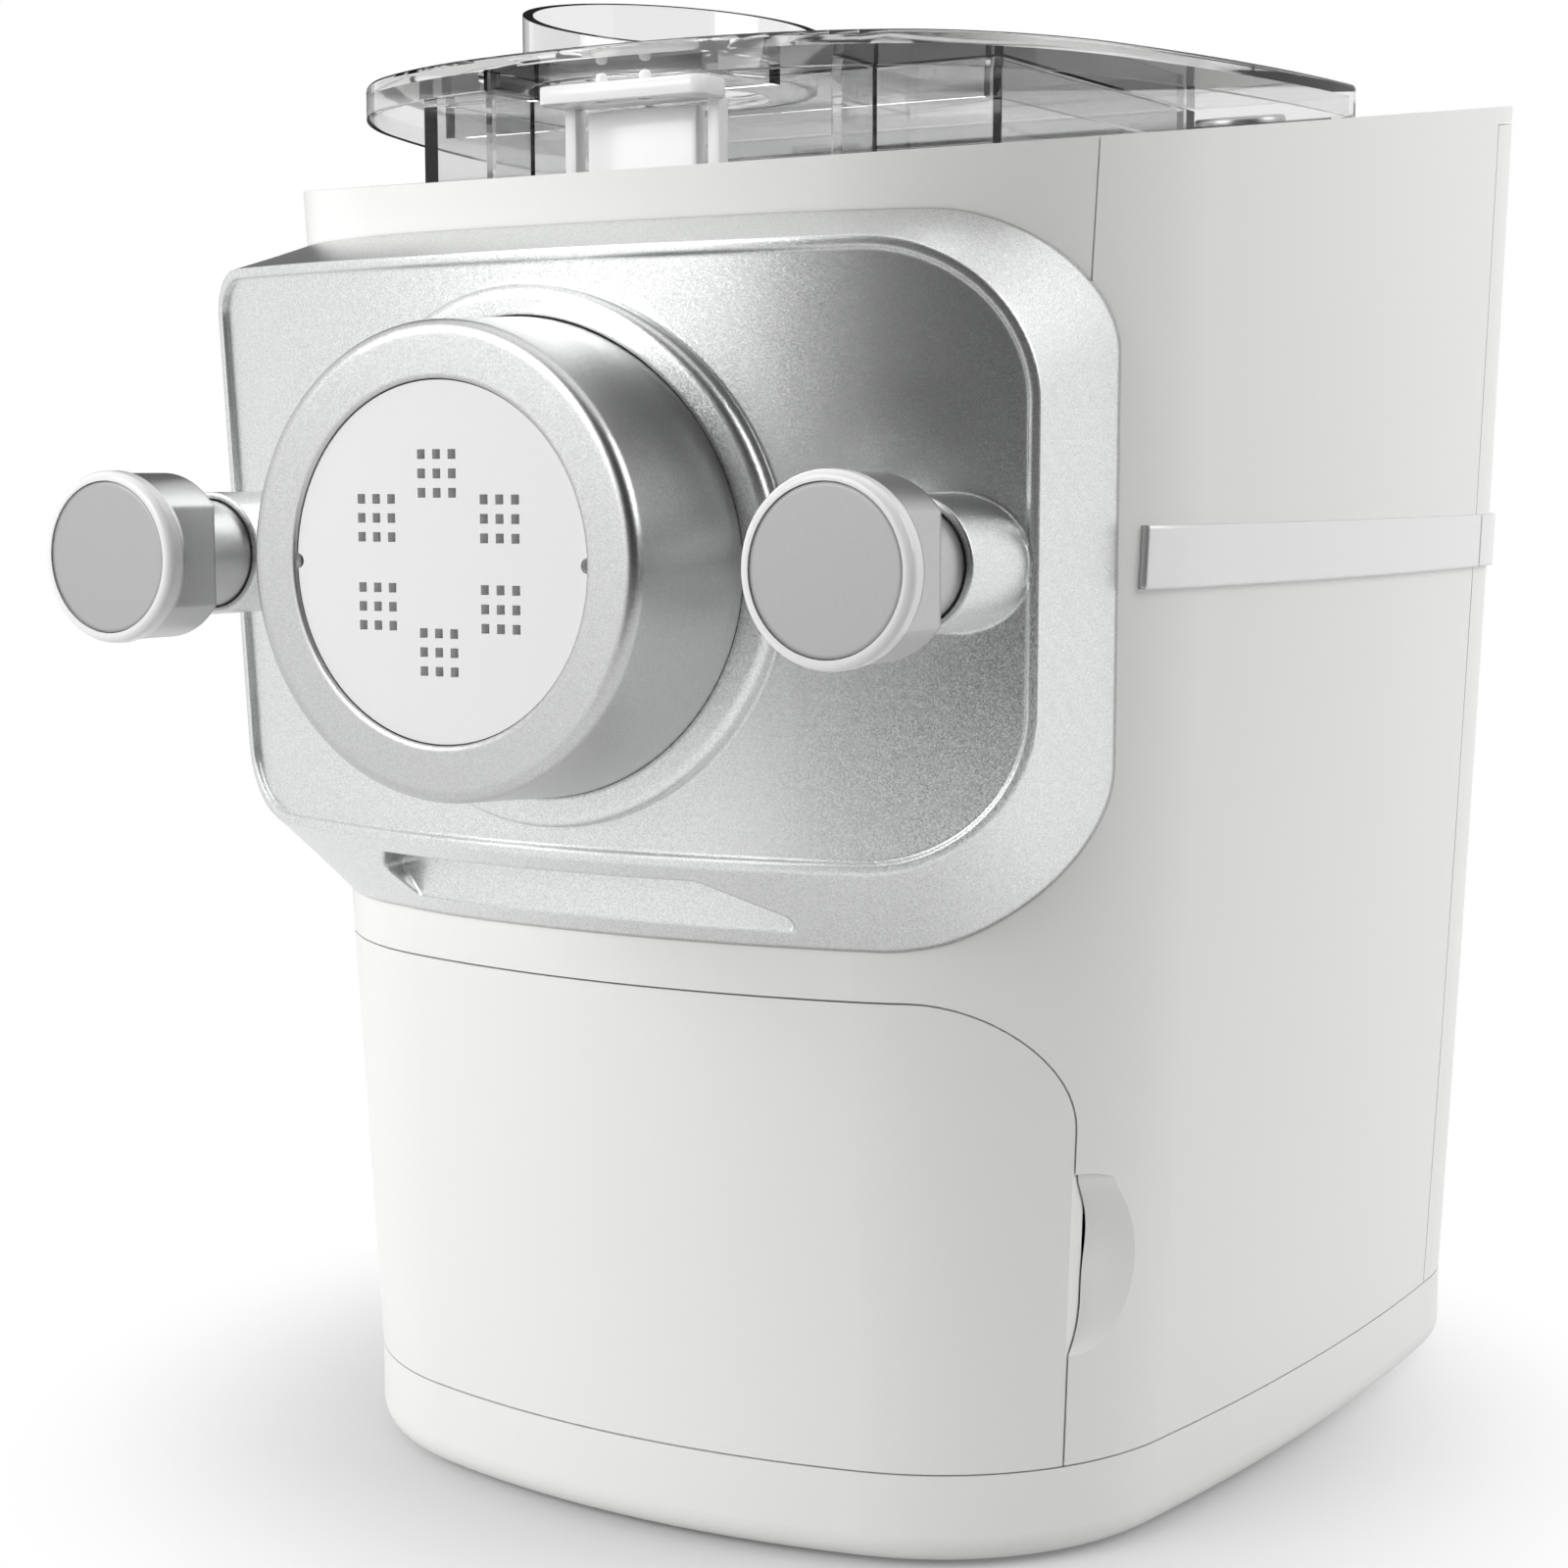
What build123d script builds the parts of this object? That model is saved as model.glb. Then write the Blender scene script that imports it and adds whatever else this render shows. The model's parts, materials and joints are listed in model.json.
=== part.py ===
"""Electric pasta maker: tapered housing, pull-off front panel with two screw knobs, shaping disc
in its ring, clear mixing chamber with lift-off lid, disc drawer, and a two-stage gear drive.

Millimetres. +X is the user's right, +Y points to the back, +Z is up. The origin is on the table,
under the middle of the machine. A "depth" is a distance behind the faces of the two knobs.
"""

from build123d import *
import math
import os

# ---------------------------------------------------------------- driving sizes: housing
DEPTH = 304.0            # from the knob faces to the rear wall
AXIS_Z = 204.0           # extrusion axis above the table
SEAM_Z = 20.6            # joint between the base pan and the housing
MIDDLE_Z = 140.0         # level where the taper eases
LOFT_TOP_Z = 332.0       # the tapered form is made to here, then cut on a slant
SEAM_HALF_WIDTH = 109.3  # half the width at the base joint
SEAM_FRONT = 57.6        # depth of the foremost point at the base joint
MIDDLE_GROWTH = 5.6      # how far the sides have moved out at MIDDLE_Z
TOP_GROWTH = 12.3        # and at LOFT_TOP_Z
MIDDLE_ADVANCE = 6.2     # how far the front has moved forward at MIDDLE_Z
TOP_ADVANCE = 18.0       # and at LOFT_TOP_Z
FRONT_BOW_R = 215.0      # plan radius of the bowed front
CORNER_R = 60.0          # plan radius of the front corners
SIDE_BOW_R = 720.0       # plan radius of the sides
WIDEST_DEPTH = 240.0     # where the sides are furthest apart
REAR_CORNER_R = 46.0
REAR_BOW_R = 700.0
WALL = 3.0               # moulded wall of the housing
TOP_EDGE_Z = 272.85      # the slanted top edge, carried forward to depth 0
TOP_SLOPE = 0.13         # rise of the top edge per millimetre of depth
SEAM_GAP = 0.4           # visible joint between neighbouring covers
SEAT_GAP = 0.3           # clearance between pieces that only rest beside each other

# ---------------------------------------------------------------- driving sizes: covers and base
BROW_DEPTH = 79.0        # the upper front cover ends here, on the front corners
BROW_BOTTOM_Z = 216.0
REAR_SEAM_DEPTH = 250.0
REAR_COVER_DROP = 4.0    # the rear cover stops this far below the top edge
BASE_FLOOR_Z = 0.8       # underside of the base pan
BASE_EDGE_R = 6.5        # rounding along its lower edge
FOOT_R = 10.0
FOOT_SINK = 2.0          # depth of the pocket that holds a foot
FOOT_X = 68.0
FOOT_DEPTHS = (98.0, 268.0)
TUBE_HOLE_R = 52.0       # hole in the front wall round the extrusion tube

# ---------------------------------------------------------------- driving sizes: side bands
BAND_HEIGHT = 12.4
BAND_PROUD = 1.4
BAND_CENTRE_Z = AXIS_Z
BAND_FRONT = 92.0

# ---------------------------------------------------------------- driving sizes: front panel
PANEL_FACE = 31.2        # depth of the panel's face at the extrusion axis
PANEL_BOW_R = 222.0
PANEL_LEAN = 0.056       # the face comes forward by this much per millimetre of height
PANEL_TAPER = 0.025      # and each side moves out by this much
PANEL_TOP_RISE = 0.05    # rise of the top edges per millimetre of the face's depth
PANEL_WALL = 3.0
CREST_HALF_WIDTH = 97.2  # the crest is the line where the face meets the bevel
CREST_TOP = 58.8         # above the extrusion axis
CREST_BOTTOM = 58.8      # below it
CREST_RADII = (31.0, 10.0, 16.0, 31.0)  # top right, top left, bottom left, bottom right
OUTER_HALF_WIDTH = 98.0  # the outer line lies on the housing
OUTER_TOP = 65.0
OUTER_BOTTOM = 76.8
OUTER_RADII = (27.0, 11.0, 17.0, 36.0)
CREST_RIM = 2.0          # width of the rim inside the crest
CREST_RIM_HEIGHT = 1.0
ARC_STEPS = 6            # points along each corner of the panel's outlines
SIDE_SHARES = (0.015, 0.04, 0.09, 0.2, 0.5, 0.8, 0.91, 0.96, 0.985)  # and along each side
COLLAR_R = 52.6          # raised lip round the ring
COLLAR_RISE = 3.2        # height of the lip above the face
COLLAR_EDGE_R = 2.4
GRIP_HALF_WIDTH = 53.0   # finger grip in the lower bevel
GRIP_TOP = 62.0
GRIP_BOTTOM = 72.5
GRIP_SINK = 12.5         # from the panel's face to the back of the grip
GRIP_BACK = 2.0          # thickness of the wall behind the grip

# ---------------------------------------------------------------- driving sizes: disc and ring
DISC_R = 33.6
DISC_THICKNESS = 3.4
DISC_FLANGE_R = 36.2
DISC_FLANGE = 2.6
DISC_SET_BACK = 0.8      # the disc's face behind the ring's face
DIE_HOLE = 1.8           # side of a square extrusion hole
DIE_PITCH = 3.54
DIE_RING_R = 16.5        # the six groups of holes stand on this radius
NOTCH_R = 1.4
RING_R = 44.6            # at the front edge
RING_REAR_R = 46.4
RING_LENGTH = 46.0
RING_FLANGE_R = 50.0
RING_FLANGE = 2.4
RING_EDGE_R = 2.4

# ---------------------------------------------------------------- driving sizes: knobs
KNOB_X = 82.9
KNOB_RIM_R = 17.2
KNOB_RIM_LENGTH = 3.6
KNOB_FACE_R = 15.0
KNOB_BODY_R = 16.7
KNOB_BODY_END = 17.0     # depth where the grip steps down to the neck
KNOB_FLAT = 13.4         # from the knob's axis to its side flats
KNOB_NECK_R = 11.0
KNOB_NECK_END = 36.0
KNOB_CLEARANCE = 0.4     # round the neck and the screw, in the front panel
BOSS_R = 12.7
BOSS_FACE = 30.4
KNOB_SCREW_R = 4.0
KNOB_SCREW_END = 92.0
NUT_R = 8.0

# ---------------------------------------------------------------- driving sizes: chamber and lid
CHAMBER_HALF_WIDTH = 71.0
CHAMBER_FRONT = 89.0
CHAMBER_REAR = 185.5
CHAMBER_WALL = 2.5
CHAMBER_RIB_X = 42.2
CHAMBER_RIB_DEPTH = 75.0
LID_TOP_Z = 303.6
LID_PLATE = 2.6
LID_RIM_HEIGHT = 6.6
LID_RIM_WALL = 2.4
LID_FRONT = 49.6
LID_HALF_WIDTH = 112.0
LID_REAR = 188.5
LID_REAR_CORNER_R = 7.0
LID_NOTCH_HALF_WIDTH = 26.0
LID_NOTCH_DEPTH = 74.0
COLLAR_X = -15.2         # water inlet on the lid
COLLAR_DEPTH = 104.0
INLET_R = 32.0
INLET_WALL = 2.2
INLET_MEAN_Z = 316.0
INLET_FALL_X = 0.21      # fall of the inlet's slanted edge towards +X
INLET_RISE_Y = 0.20      # and its rise towards the back
INLET_HOLE_R = 17.0      # hole in the inlet's floor, into the chamber
INLET_HOLE_DEPTH = 113.0

# ---------------------------------------------------------------- driving sizes: lid lock
LOCK_HALF_WIDTH = 22.2
LOCK_BAR_FRONT = 59.6
LOCK_BAR_DEPTH = 8.0
LOCK_BAR_TOP_Z = 298.8
LOCK_BAR_HEIGHT = 3.8
LOCK_LEG_X = 16.4
LOCK_LEG_WIDTH = 5.4
LOCK_LEG_FRONT = 67.6
LOCK_LEG_DEPTH = 4.0
LOCK_FOOT_Z = 250.0
LOCK_PIN_X = 5.6
LOCK_PIN_R = 1.2
LOCK_PIN_TOP_Z = 300.2
LOCK_PIN_TRAVEL = 1.5

# ---------------------------------------------------------------- driving sizes: chassis and drive
BULKHEAD_DEPTH = 80.0
BULKHEAD_THICKNESS = 4.0
REAR_BULKHEAD_DEPTH = 190.0
CHASSIS_FLOOR_Z = 123.0
GEAR_MODULE = 1.5
OUTPUT_TEETH = 60
LAY_PINION_TEETH = 15
LAY_GEAR_TEETH = 48
MOTOR_PINION_TEETH = 16
LAY_X = 30.0             # the layshaft stands this far to the side
GEAR_WIDTH = 8.0
OUTPUT_GEAR_DEPTH = 205.0
LAY_GEAR_DEPTH = 196.0
LAY_GEAR_WIDTH = 6.0
PLATE_DEPTH = 217.0      # gearbox plate
PLATE_THICKNESS = 3.0
SHAFT_R = 8.0
LAY_SHAFT_R = 4.0
MOTOR_SHAFT_R = 3.0
RUNNING_FIT = 0.05       # radial clearance of a turning shaft
BEARING_R = 13.0
MOTOR_R = 32.0
MOTOR_LENGTH = 66.0
FAN_R = 27.0
TUBE_BORE_R = 31.0
TUBE_WALL = 5.0
TUBE_FLANGE = 6.0        # how far the flange stands out of the tube
AUGER_GAP = 0.7          # between the flights and the bore
AUGER_CORE_R = 10.0
AUGER_PITCH = 24.0
AUGER_FLIGHT = 3.2
PADDLE_REACH = 63.0

# ---------------------------------------------------------------- driving sizes: drawer
DRAWER_HALF_WIDTH = 92.0  # at its top edge
DRAWER_TAPER = 0.043     # each side draws in by this much per millimetre down
DRAWER_TOP_Z = 117.5
DRAWER_RADII = (26.0, 8.0)  # top right and top left corners
TRAY_HALF_WIDTH = 72.0
TRAY_REAR = 172.0
TRAY_FLOOR_Z = 26.0
TRAY_TOP_Z = 100.0
TRAY_WALL = 2.0
DISH_X = 90.3            # finger dishes in the housing, centred on the drawer's edges
DISH_Z = 60.5
DISH_PROFILE = ((0.0, -2.5), (9.5, -2.75), (13.5, -2.0), (17.0, -0.7), (21.0, 0.4))
DISH_BACK = 2.4          # extra wall behind a dish

# ---------------------------------------------------------------- driving sizes: top deck
DECK_DROP = 0.6          # deck surface below the housing's edge
DECK_THICKNESS = 3.0
DECK_FRONT = 190.5
LEDGE_Z = 268.0
CONTROL_DEPTH = 246.0
CONTROL_WIDTH = 150.0
CONTROL_LENGTH = 56.0
CONTROL_THICKNESS = 2.4
DISPLAY_WIDTH = 62.0
DISPLAY_LENGTH = 24.0
BUTTON_R = 8.5
START_BUTTON_R = 11.0
BUTTON_PROUD = 1.4
BUTTON_TRAVEL = 1.2
BUTTON_GAP = 0.4
BUTTON_PLACES = {"power_button": -58.0, "program_button": 36.0, "start_button": 58.0}

# ---------------------------------------------------------------- driving sizes: rear and fasteners
VENT_COUNT = 9
VENT_PITCH = 8.0
VENT_WIDTH = 3.2
VENT_HEIGHT = 26.0
VENT_Z = 118.0
INLET_SOCKET_X = 58.0
INLET_SOCKET_Z = 52.0
SOCKET_WIDTH = 27.0
SOCKET_HEIGHT = 20.0
SCREW_HEAD_R = 3.2
SCREW_HEAD = 2.0
SCREW_R = 1.5
SCREW_LENGTH = 12.0
REAR_SCREW_X = 76.0
REAR_SCREW_Z = (38.0, 268.0)

TUBE_R = TUBE_BORE_R + TUBE_WALL
TUBE_FLANGE_R = TUBE_R + TUBE_FLANGE
AUGER_R = TUBE_BORE_R - AUGER_GAP
FAR = 400.0              # reach of a cutting block, past every face
TOP_TILT = math.degrees(math.atan(TOP_SLOPE))


# ================================================================ helpers
def y_at(depth):
    """Row Y of a depth behind the knob faces."""
    return depth - DEPTH / 2


def block(x_low, x_high, depth_low, depth_high, z_low, z_high):
    """Box between two corners, its second pair given as depths."""
    size = (x_high - x_low, depth_high - depth_low, z_high - z_low)
    centre = ((x_low + x_high) / 2, y_at((depth_low + depth_high) / 2), (z_low + z_high) / 2)
    return Pos(*centre) * Box(*size)


def rod(radius, depth_low, depth_high, x=0.0, z=AXIS_Z):
    """Cylinder along Y between two depths."""
    axis = Pos(x, y_at((depth_low + depth_high) / 2), z) * Rot(90, 0, 0)
    return axis * Cylinder(radius, depth_high - depth_low)


def ring_of(outer_r, inner_r, depth_low, depth_high, x=0.0, z=AXIS_Z):
    """Hollow cylinder along Y; the bore runs past both ends."""
    return rod(outer_r, depth_low, depth_high, x, z) - rod(inner_r, depth_low - 1, depth_high + 1, x, z)


def front_view(outline, depth_low, depth_high):
    """Prism of an XZ outline, drawn as (x, height above the axis), between two depths."""
    placed = Plane(origin=(0, y_at(depth_high), AXIS_Z), x_dir=(1, 0, 0), z_dir=(0, -1, 0)) * outline
    return extrude(placed, depth_high - depth_low)


def revolved(points):
    """Solid turned about the extrusion axis from (radius, depth) points."""
    placed = [(radius, y_at(depth), AXIS_Z) for radius, depth in points]
    face = make_face(Polyline(*placed, close=True))
    return revolve(face, Axis((0, 0, AXIS_Z), (0, 1, 0)), 360)


def above_slant(lift, front=0.0):
    """Everything above the slanted top plane moved up by lift, behind depth front."""
    tilted = Pos(0, y_at(0), TOP_EDGE_Z + lift) * Rot(TOP_TILT, 0, 0)
    slab = tilted * Box(FAR, 2 * FAR, FAR / 2, align=(Align.CENTER, Align.CENTER, Align.MIN))
    return slab if front <= 0 else slab & block(-FAR, FAR, front, FAR, 0, FAR)


def on_deck(x, lift):
    """Place on the sloping control deck, lift above the deck's surface, at the panel's middle."""
    surface = TOP_EDGE_Z + TOP_SLOPE * CONTROL_DEPTH - DECK_DROP
    return Pos(0, y_at(CONTROL_DEPTH), surface) * Rot(TOP_TILT, 0, 0) * Pos(x, 0, lift)


# ================================================================ housing form
def circles_meet(centre_a, reach_a, centre_b, reach_b, nearer_front):
    """Point at reach_a from centre_a and reach_b from centre_b, the front or the rear one."""
    gap_x, gap_y = centre_b[0] - centre_a[0], centre_b[1] - centre_a[1]
    gap = math.hypot(gap_x, gap_y)
    along = (reach_a**2 - reach_b**2 + gap**2) / (2 * gap)
    aside = math.sqrt(reach_a**2 - along**2)
    foot = (centre_a[0] + along * gap_x / gap, centre_a[1] + along * gap_y / gap)
    pair = [
        (foot[0] - side * aside * gap_y / gap, foot[1] + side * aside * gap_x / gap)
        for side in (1, -1)
    ]
    return min(pair, key=lambda p: p[1]) if nearer_front else max(pair, key=lambda p: p[1])


def reach_out(centre, towards, radius):
    """Point at radius from centre, in the direction of a second point."""
    span = math.dist(centre, towards)
    return tuple(c + (t - c) * radius / span for c, t in zip(centre, towards))


def plan_centres(front, half_width, rear, radii):
    """Centres of the five tangent arcs of a plan outline's right half, from the front to the rear."""
    front_r, corner_r, side_r, rear_corner_r, rear_r = radii
    front_c = (0.0, front + front_r)
    side_c = (half_width - side_r, WIDEST_DEPTH)
    rear_c = (0.0, rear - rear_r)
    corner_c = circles_meet(front_c, front_r - corner_r, side_c, side_r - corner_r, True)
    rear_corner_c = circles_meet(side_c, side_r - rear_corner_r, rear_c, rear_r - rear_corner_r, False)
    return [front_c, corner_c, side_c, rear_corner_c, rear_c]


def plan_arcs(front, half_width, rear, radii):
    """The same five arcs as (start, middle, end)."""
    centres = plan_centres(front, half_width, rear, radii)
    front_c, corner_c, side_c, rear_corner_c, rear_c = centres
    front_r, _, side_r, _, rear_r = radii
    joints = [
        (0.0, front),
        reach_out(front_c, corner_c, front_r),
        reach_out(side_c, corner_c, side_r),
        reach_out(side_c, rear_corner_c, side_r),
        reach_out(rear_c, rear_corner_c, rear_r),
        (0.0, rear),
    ]
    arcs = []
    for centre, radius, start, end in zip(centres, radii, joints, joints[1:]):
        chord_middle = ((start[0] + end[0]) / 2, (start[1] + end[1]) / 2)
        arcs.append((start, reach_out(centre, chord_middle, radius), end))
    return arcs


def plan_face(arcs, z):
    """Closed plan face at a level, from the arcs of its right half."""
    def point(p, side):
        return (side * p[0], y_at(p[1]), z)

    front_arc, rear_arc = arcs[0], arcs[-1]
    edges = [ThreePointArc(point(front_arc[2], -1), point(front_arc[0], 1), point(front_arc[2], 1))]
    edges += [ThreePointArc(*(point(p, 1) for p in arc)) for arc in arcs[1:-1]]
    edges += [ThreePointArc(point(rear_arc[0], 1), point(rear_arc[2], 1), point(rear_arc[0], -1))]
    edges += [ThreePointArc(*(point(p, -1) for p in reversed(arc))) for arc in reversed(arcs[1:-1])]
    return make_face(edges)


def housing_plan(growth, advance, inset):
    """Front, half width, rear and radii of the housing's plan outline, drawn in by inset."""
    radii = (
        FRONT_BOW_R + advance - inset,
        CORNER_R + growth - inset,
        SIDE_BOW_R + growth - inset,
        REAR_CORNER_R - inset,
        REAR_BOW_R - inset,
    )
    return SEAM_FRONT - advance + inset, SEAM_HALF_WIDTH + growth - inset, DEPTH - inset, radii


def housing_arcs(growth, advance, inset):
    return plan_arcs(*housing_plan(growth, advance, inset))


def between_levels(z, middle, top):
    """Value at a level, on the parabola through 0 at the base joint, middle and top."""
    rise, half_way, full = z - SEAM_Z, MIDDLE_Z - SEAM_Z, LOFT_TOP_Z - SEAM_Z
    lower = middle * rise * (full - rise) / (half_way * (full - half_way))
    return lower + top * rise * (rise - half_way) / (full * (full - half_way))


def wall_circles(z):
    """Bow and corner circles of the housing's front at a level, as (centre, radius), and their joint."""
    growth = between_levels(z, MIDDLE_GROWTH, TOP_GROWTH)
    advance = between_levels(z, MIDDLE_ADVANCE, TOP_ADVANCE)
    front, half_width, rear, radii = housing_plan(growth, advance, 0)
    bow_centre, corner_centre = plan_centres(front, half_width, rear, radii)[:2]
    joint_x = reach_out(bow_centre, corner_centre, radii[0])[0]
    return (bow_centre, radii[0]), (corner_centre, radii[1]), joint_x


def tapered_body(inset=0.0):
    """The whole tapered form, from the base joint to above the slanted top."""
    levels = ((SEAM_Z, 0, 0), (MIDDLE_Z, MIDDLE_GROWTH, MIDDLE_ADVANCE), (LOFT_TOP_Z, TOP_GROWTH, TOP_ADVANCE))
    faces = [plan_face(housing_arcs(growth, advance, inset), z) for z, growth, advance in levels]
    return loft(faces)


def drawer_outline(inset=0.0):
    """Front view of the drawer's opening: open to the base joint, its two top corners rounded."""
    low = SEAM_Z - 5 - AXIS_Z
    high = DRAWER_TOP_Z - inset - AXIS_Z
    top_half = DRAWER_HALF_WIDTH - inset
    low_half = top_half - DRAWER_TAPER * (high - low)
    sheet = Polygon((-low_half, low), (low_half, low), (top_half, high), (-top_half, high), align=None)
    for corner, radius in zip((-1, 0), DRAWER_RADII):
        top_corners = sheet.vertices().group_by(Axis.Y)[-1].sort_by(Axis.X)
        sheet = fillet(top_corners[corner], radius - inset)
    return sheet


def drawer_zone(inset=0.0):
    return front_view(drawer_outline(inset), 30, 125)


def brow_zone(grow=0.0):
    return block(-FAR, FAR, -50, BROW_DEPTH + grow, BROW_BOTTOM_Z - grow, FAR)


def rear_zone(grow=0.0):
    behind = block(-FAR, FAR, REAR_SEAM_DEPTH - grow, FAR, 0, FAR)
    return behind - above_slant(-REAR_COVER_DROP + grow)


def knob_holes(radius, depth_low, depth_high):
    return [rod(radius, depth_low, depth_high, side * KNOB_X) for side in (-1, 1)]


def dish_plane(side):
    """Plane that touches the housing at a finger dish's centre, its normal outward."""
    centre, radius = wall_circles(DISH_Z)[1]
    out_x = (DISH_X - centre[0]) / radius
    out_y = -math.sqrt(1 - out_x**2)
    place = (side * DISH_X, y_at(centre[1] + radius * out_y), DISH_Z)
    return Plane(origin=place, x_dir=(0, 0, 1), z_dir=(side * out_x, out_y, 0))


def finger_dishes():
    """Cutters for the two dishes: flat floor, and a side that rises in an S."""
    start, end = DISH_PROFILE[0], DISH_PROFILE[-1]
    points = [(radius, 0, height) for radius, height in DISH_PROFILE]
    lines = Spline(*points, tangents=[(1, 0, 0), (1, 0, 0.1)])
    lines += Polyline((end[0], 0, end[1]), (end[0], 0, 6), (0, 0, 6), (0, 0, start[1]))
    dish = revolve(make_face(lines), Axis.Z, 360)
    return [dish_plane(side) * dish for side in (-1, 1)]


def dish_backings(inner):
    """Thickening inside the wall behind the two dishes."""
    height = WALL + DISH_BACK
    pad = Pos(0, 0, -height / 2) * Cylinder(DISH_PROFILE[-1][0], height)
    return [(dish_plane(side) * pad) & inner for side in (-1, 1)]


# ================================================================ casings
def make_main_housing(shell, inner):
    body = shell - brow_zone(SEAM_GAP / 2) - rear_zone(SEAM_GAP / 2)
    body = body + dish_backings(inner) - finger_dishes() - drawer_zone()
    body -= rod(TUBE_HOLE_R, 20, CHAMBER_FRONT)
    return largest(body - knob_holes(NUT_R + 1, 20, 100))


def make_upper_front_cover(shell):
    cover = shell & brow_zone(-SEAM_GAP / 2)
    return cover - rod(TUBE_HOLE_R, 20, CHAMBER_FRONT)


def rear_openings():
    """Vent slots behind the motor fan, and the socket's opening."""
    slots = [
        block(x - VENT_WIDTH / 2, x + VENT_WIDTH / 2, 290, FAR, VENT_Z - VENT_HEIGHT / 2, VENT_Z + VENT_HEIGHT / 2)
        for x in (VENT_PITCH * (i - (VENT_COUNT - 1) / 2) for i in range(VENT_COUNT))
    ]
    return slots + [socket_block(0.0, 250, FAR)]


def make_rear_cover(shell):
    cover = (shell & rear_zone(-SEAM_GAP / 2)) - rear_openings()
    for x, z in rear_screw_places():
        cover += rod(SCREW_HEAD_R + 2, rear_wall_depth(x) - 10, rear_wall_depth(x) - 1, x, z)
        cover -= rod(SCREW_HEAD_R + 0.3, rear_wall_depth(x) - SCREW_HEAD - 0.4, FAR, x, z)
        cover -= rod(SCREW_R + 0.1, rear_wall_depth(x) - 20, FAR, x, z)
    return cover


def pan_form(inset, floor_z, top_z):
    """Upright form under the housing with its lower edge rounded."""
    height = top_z - floor_z
    form = extrude(plan_face(housing_arcs(0, 0, inset), floor_z), height, dir=(0, 0, 1))
    return fillet(form.edges().group_by(Axis.Z)[0], BASE_EDGE_R - inset)


def make_base_pan():
    """Tray under the housing, with a rounded lower edge, foot pockets and sunk screw seats."""
    pan = pan_form(0, BASE_FLOOR_Z, SEAM_Z - SEAM_GAP) - pan_form(WALL, BASE_FLOOR_Z + WALL, SEAM_Z + 1)
    runner_top = TRAY_FLOOR_Z - SEAT_GAP
    for side in (-1, 1):
        pan += block(side * 60 - 3, side * 60 + 3, 78, TRAY_REAR, BASE_FLOOR_Z + 1, runner_top)
    for x, depth in foot_places():
        pan -= Pos(x, y_at(depth), BASE_FLOOR_Z + FOOT_SINK / 2) * Cylinder(FOOT_R + 0.1, FOOT_SINK)
    for x, depth in base_screw_places():
        place = Pos(x, y_at(depth), BASE_FLOOR_Z)
        pan -= place * Cylinder(SCREW_R + 0.1, 4 * WALL)
        pan -= place * Cylinder(SCREW_HEAD_R + 0.3, 2 * SCREW_HEAD)
    return pan


def foot_places():
    return [(side * FOOT_X, depth) for depth in FOOT_DEPTHS for side in (-1, 1)]


def make_feet():
    """Four rubber feet, each with a slightly smaller tread."""
    top = BASE_FLOOR_Z + FOOT_SINK
    foot = Pos(0, 0, top / 2) * Cylinder(FOOT_R, top)
    foot = chamfer(foot.edges().group_by(Axis.Z)[0], 0.4)
    return Compound([(Pos(x, y_at(depth), 0) * foot).solid() for x, depth in foot_places()])


# ================================================================ side bands
def band_ring(body):
    height = (BAND_CENTRE_Z - BAND_HEIGHT / 2, BAND_CENTRE_Z + BAND_HEIGHT / 2)
    return (tapered_body(-BAND_PROUD) & block(-FAR, FAR, 0, FAR, *height)) - body


def make_side_band(ring, side):
    span = sorted((side * 60.0, side * FAR))
    return ring & block(*span, BAND_FRONT, REAR_SEAM_DEPTH - SEAM_GAP / 2, 0, FAR)


def make_rear_band(ring):
    return ring & block(-FAR, FAR, REAR_SEAM_DEPTH + SEAM_GAP / 2, FAR, 0, FAR)


# ================================================================ front panel
def bow_depth(x, height):
    """Depth of the bowed and leaning panel face at x and a height above the axis."""
    return PANEL_FACE + PANEL_BOW_R - math.sqrt(PANEL_BOW_R**2 - x**2) - PANEL_LEAN * height


def front_wall_depth(x, z):
    """Depth of the housing's front wall at x, at a level."""
    bow, corner, joint_x = wall_circles(z)
    centre, radius = bow if abs(x) < joint_x else corner
    return centre[1] - math.sqrt(radius**2 - (abs(x) - centre[0])**2)


def rounded_outline(half_width, top, bottom, radii):
    """Points round a rounded outline, corner by corner, in (x, height above the axis).

    The sides between two corners carry points that stand closer together near the corners.
    """
    signs = ((1, 1), (-1, 1), (-1, -1), (1, -1))
    corners = []
    for index, ((right, up), radius) in enumerate(zip(signs, radii)):
        x = right * (half_width - radius)
        z = (top - radius) if up > 0 else (radius - bottom)
        turns = (math.radians(90 * index + 90 * step / ARC_STEPS) for step in range(ARC_STEPS + 1))
        corners.append([(x + radius * math.cos(turn), z + radius * math.sin(turn)) for turn in turns])
    points = []
    for arc, following in zip(corners, corners[1:] + corners[:1]):
        points += arc
        for share in SIDE_SHARES:
            points.append(tuple(a + (b - a) * share for a, b in zip(arc[-1], following[0])))
    return [(x * (1 + PANEL_TAPER * z / half_width), z) for x, z in points]


def inset_outline(half_width, top, bottom, radii, inset):
    radii = [max(radius - inset, 2.0) for radius in radii]
    return rounded_outline(half_width - inset, top - inset, bottom - inset, radii)


def crest_outline(inset):
    return inset_outline(CREST_HALF_WIDTH, CREST_TOP, CREST_BOTTOM, CREST_RADII, inset)


def spline_parameters(outline):
    """Running length round a closed outline, shared by curves that must match point by point."""
    lengths = [0.0]
    for here, ahead in zip(outline, outline[1:] + outline[:1]):
        lengths.append(lengths[-1] + math.dist(here, ahead))
    return lengths


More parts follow.
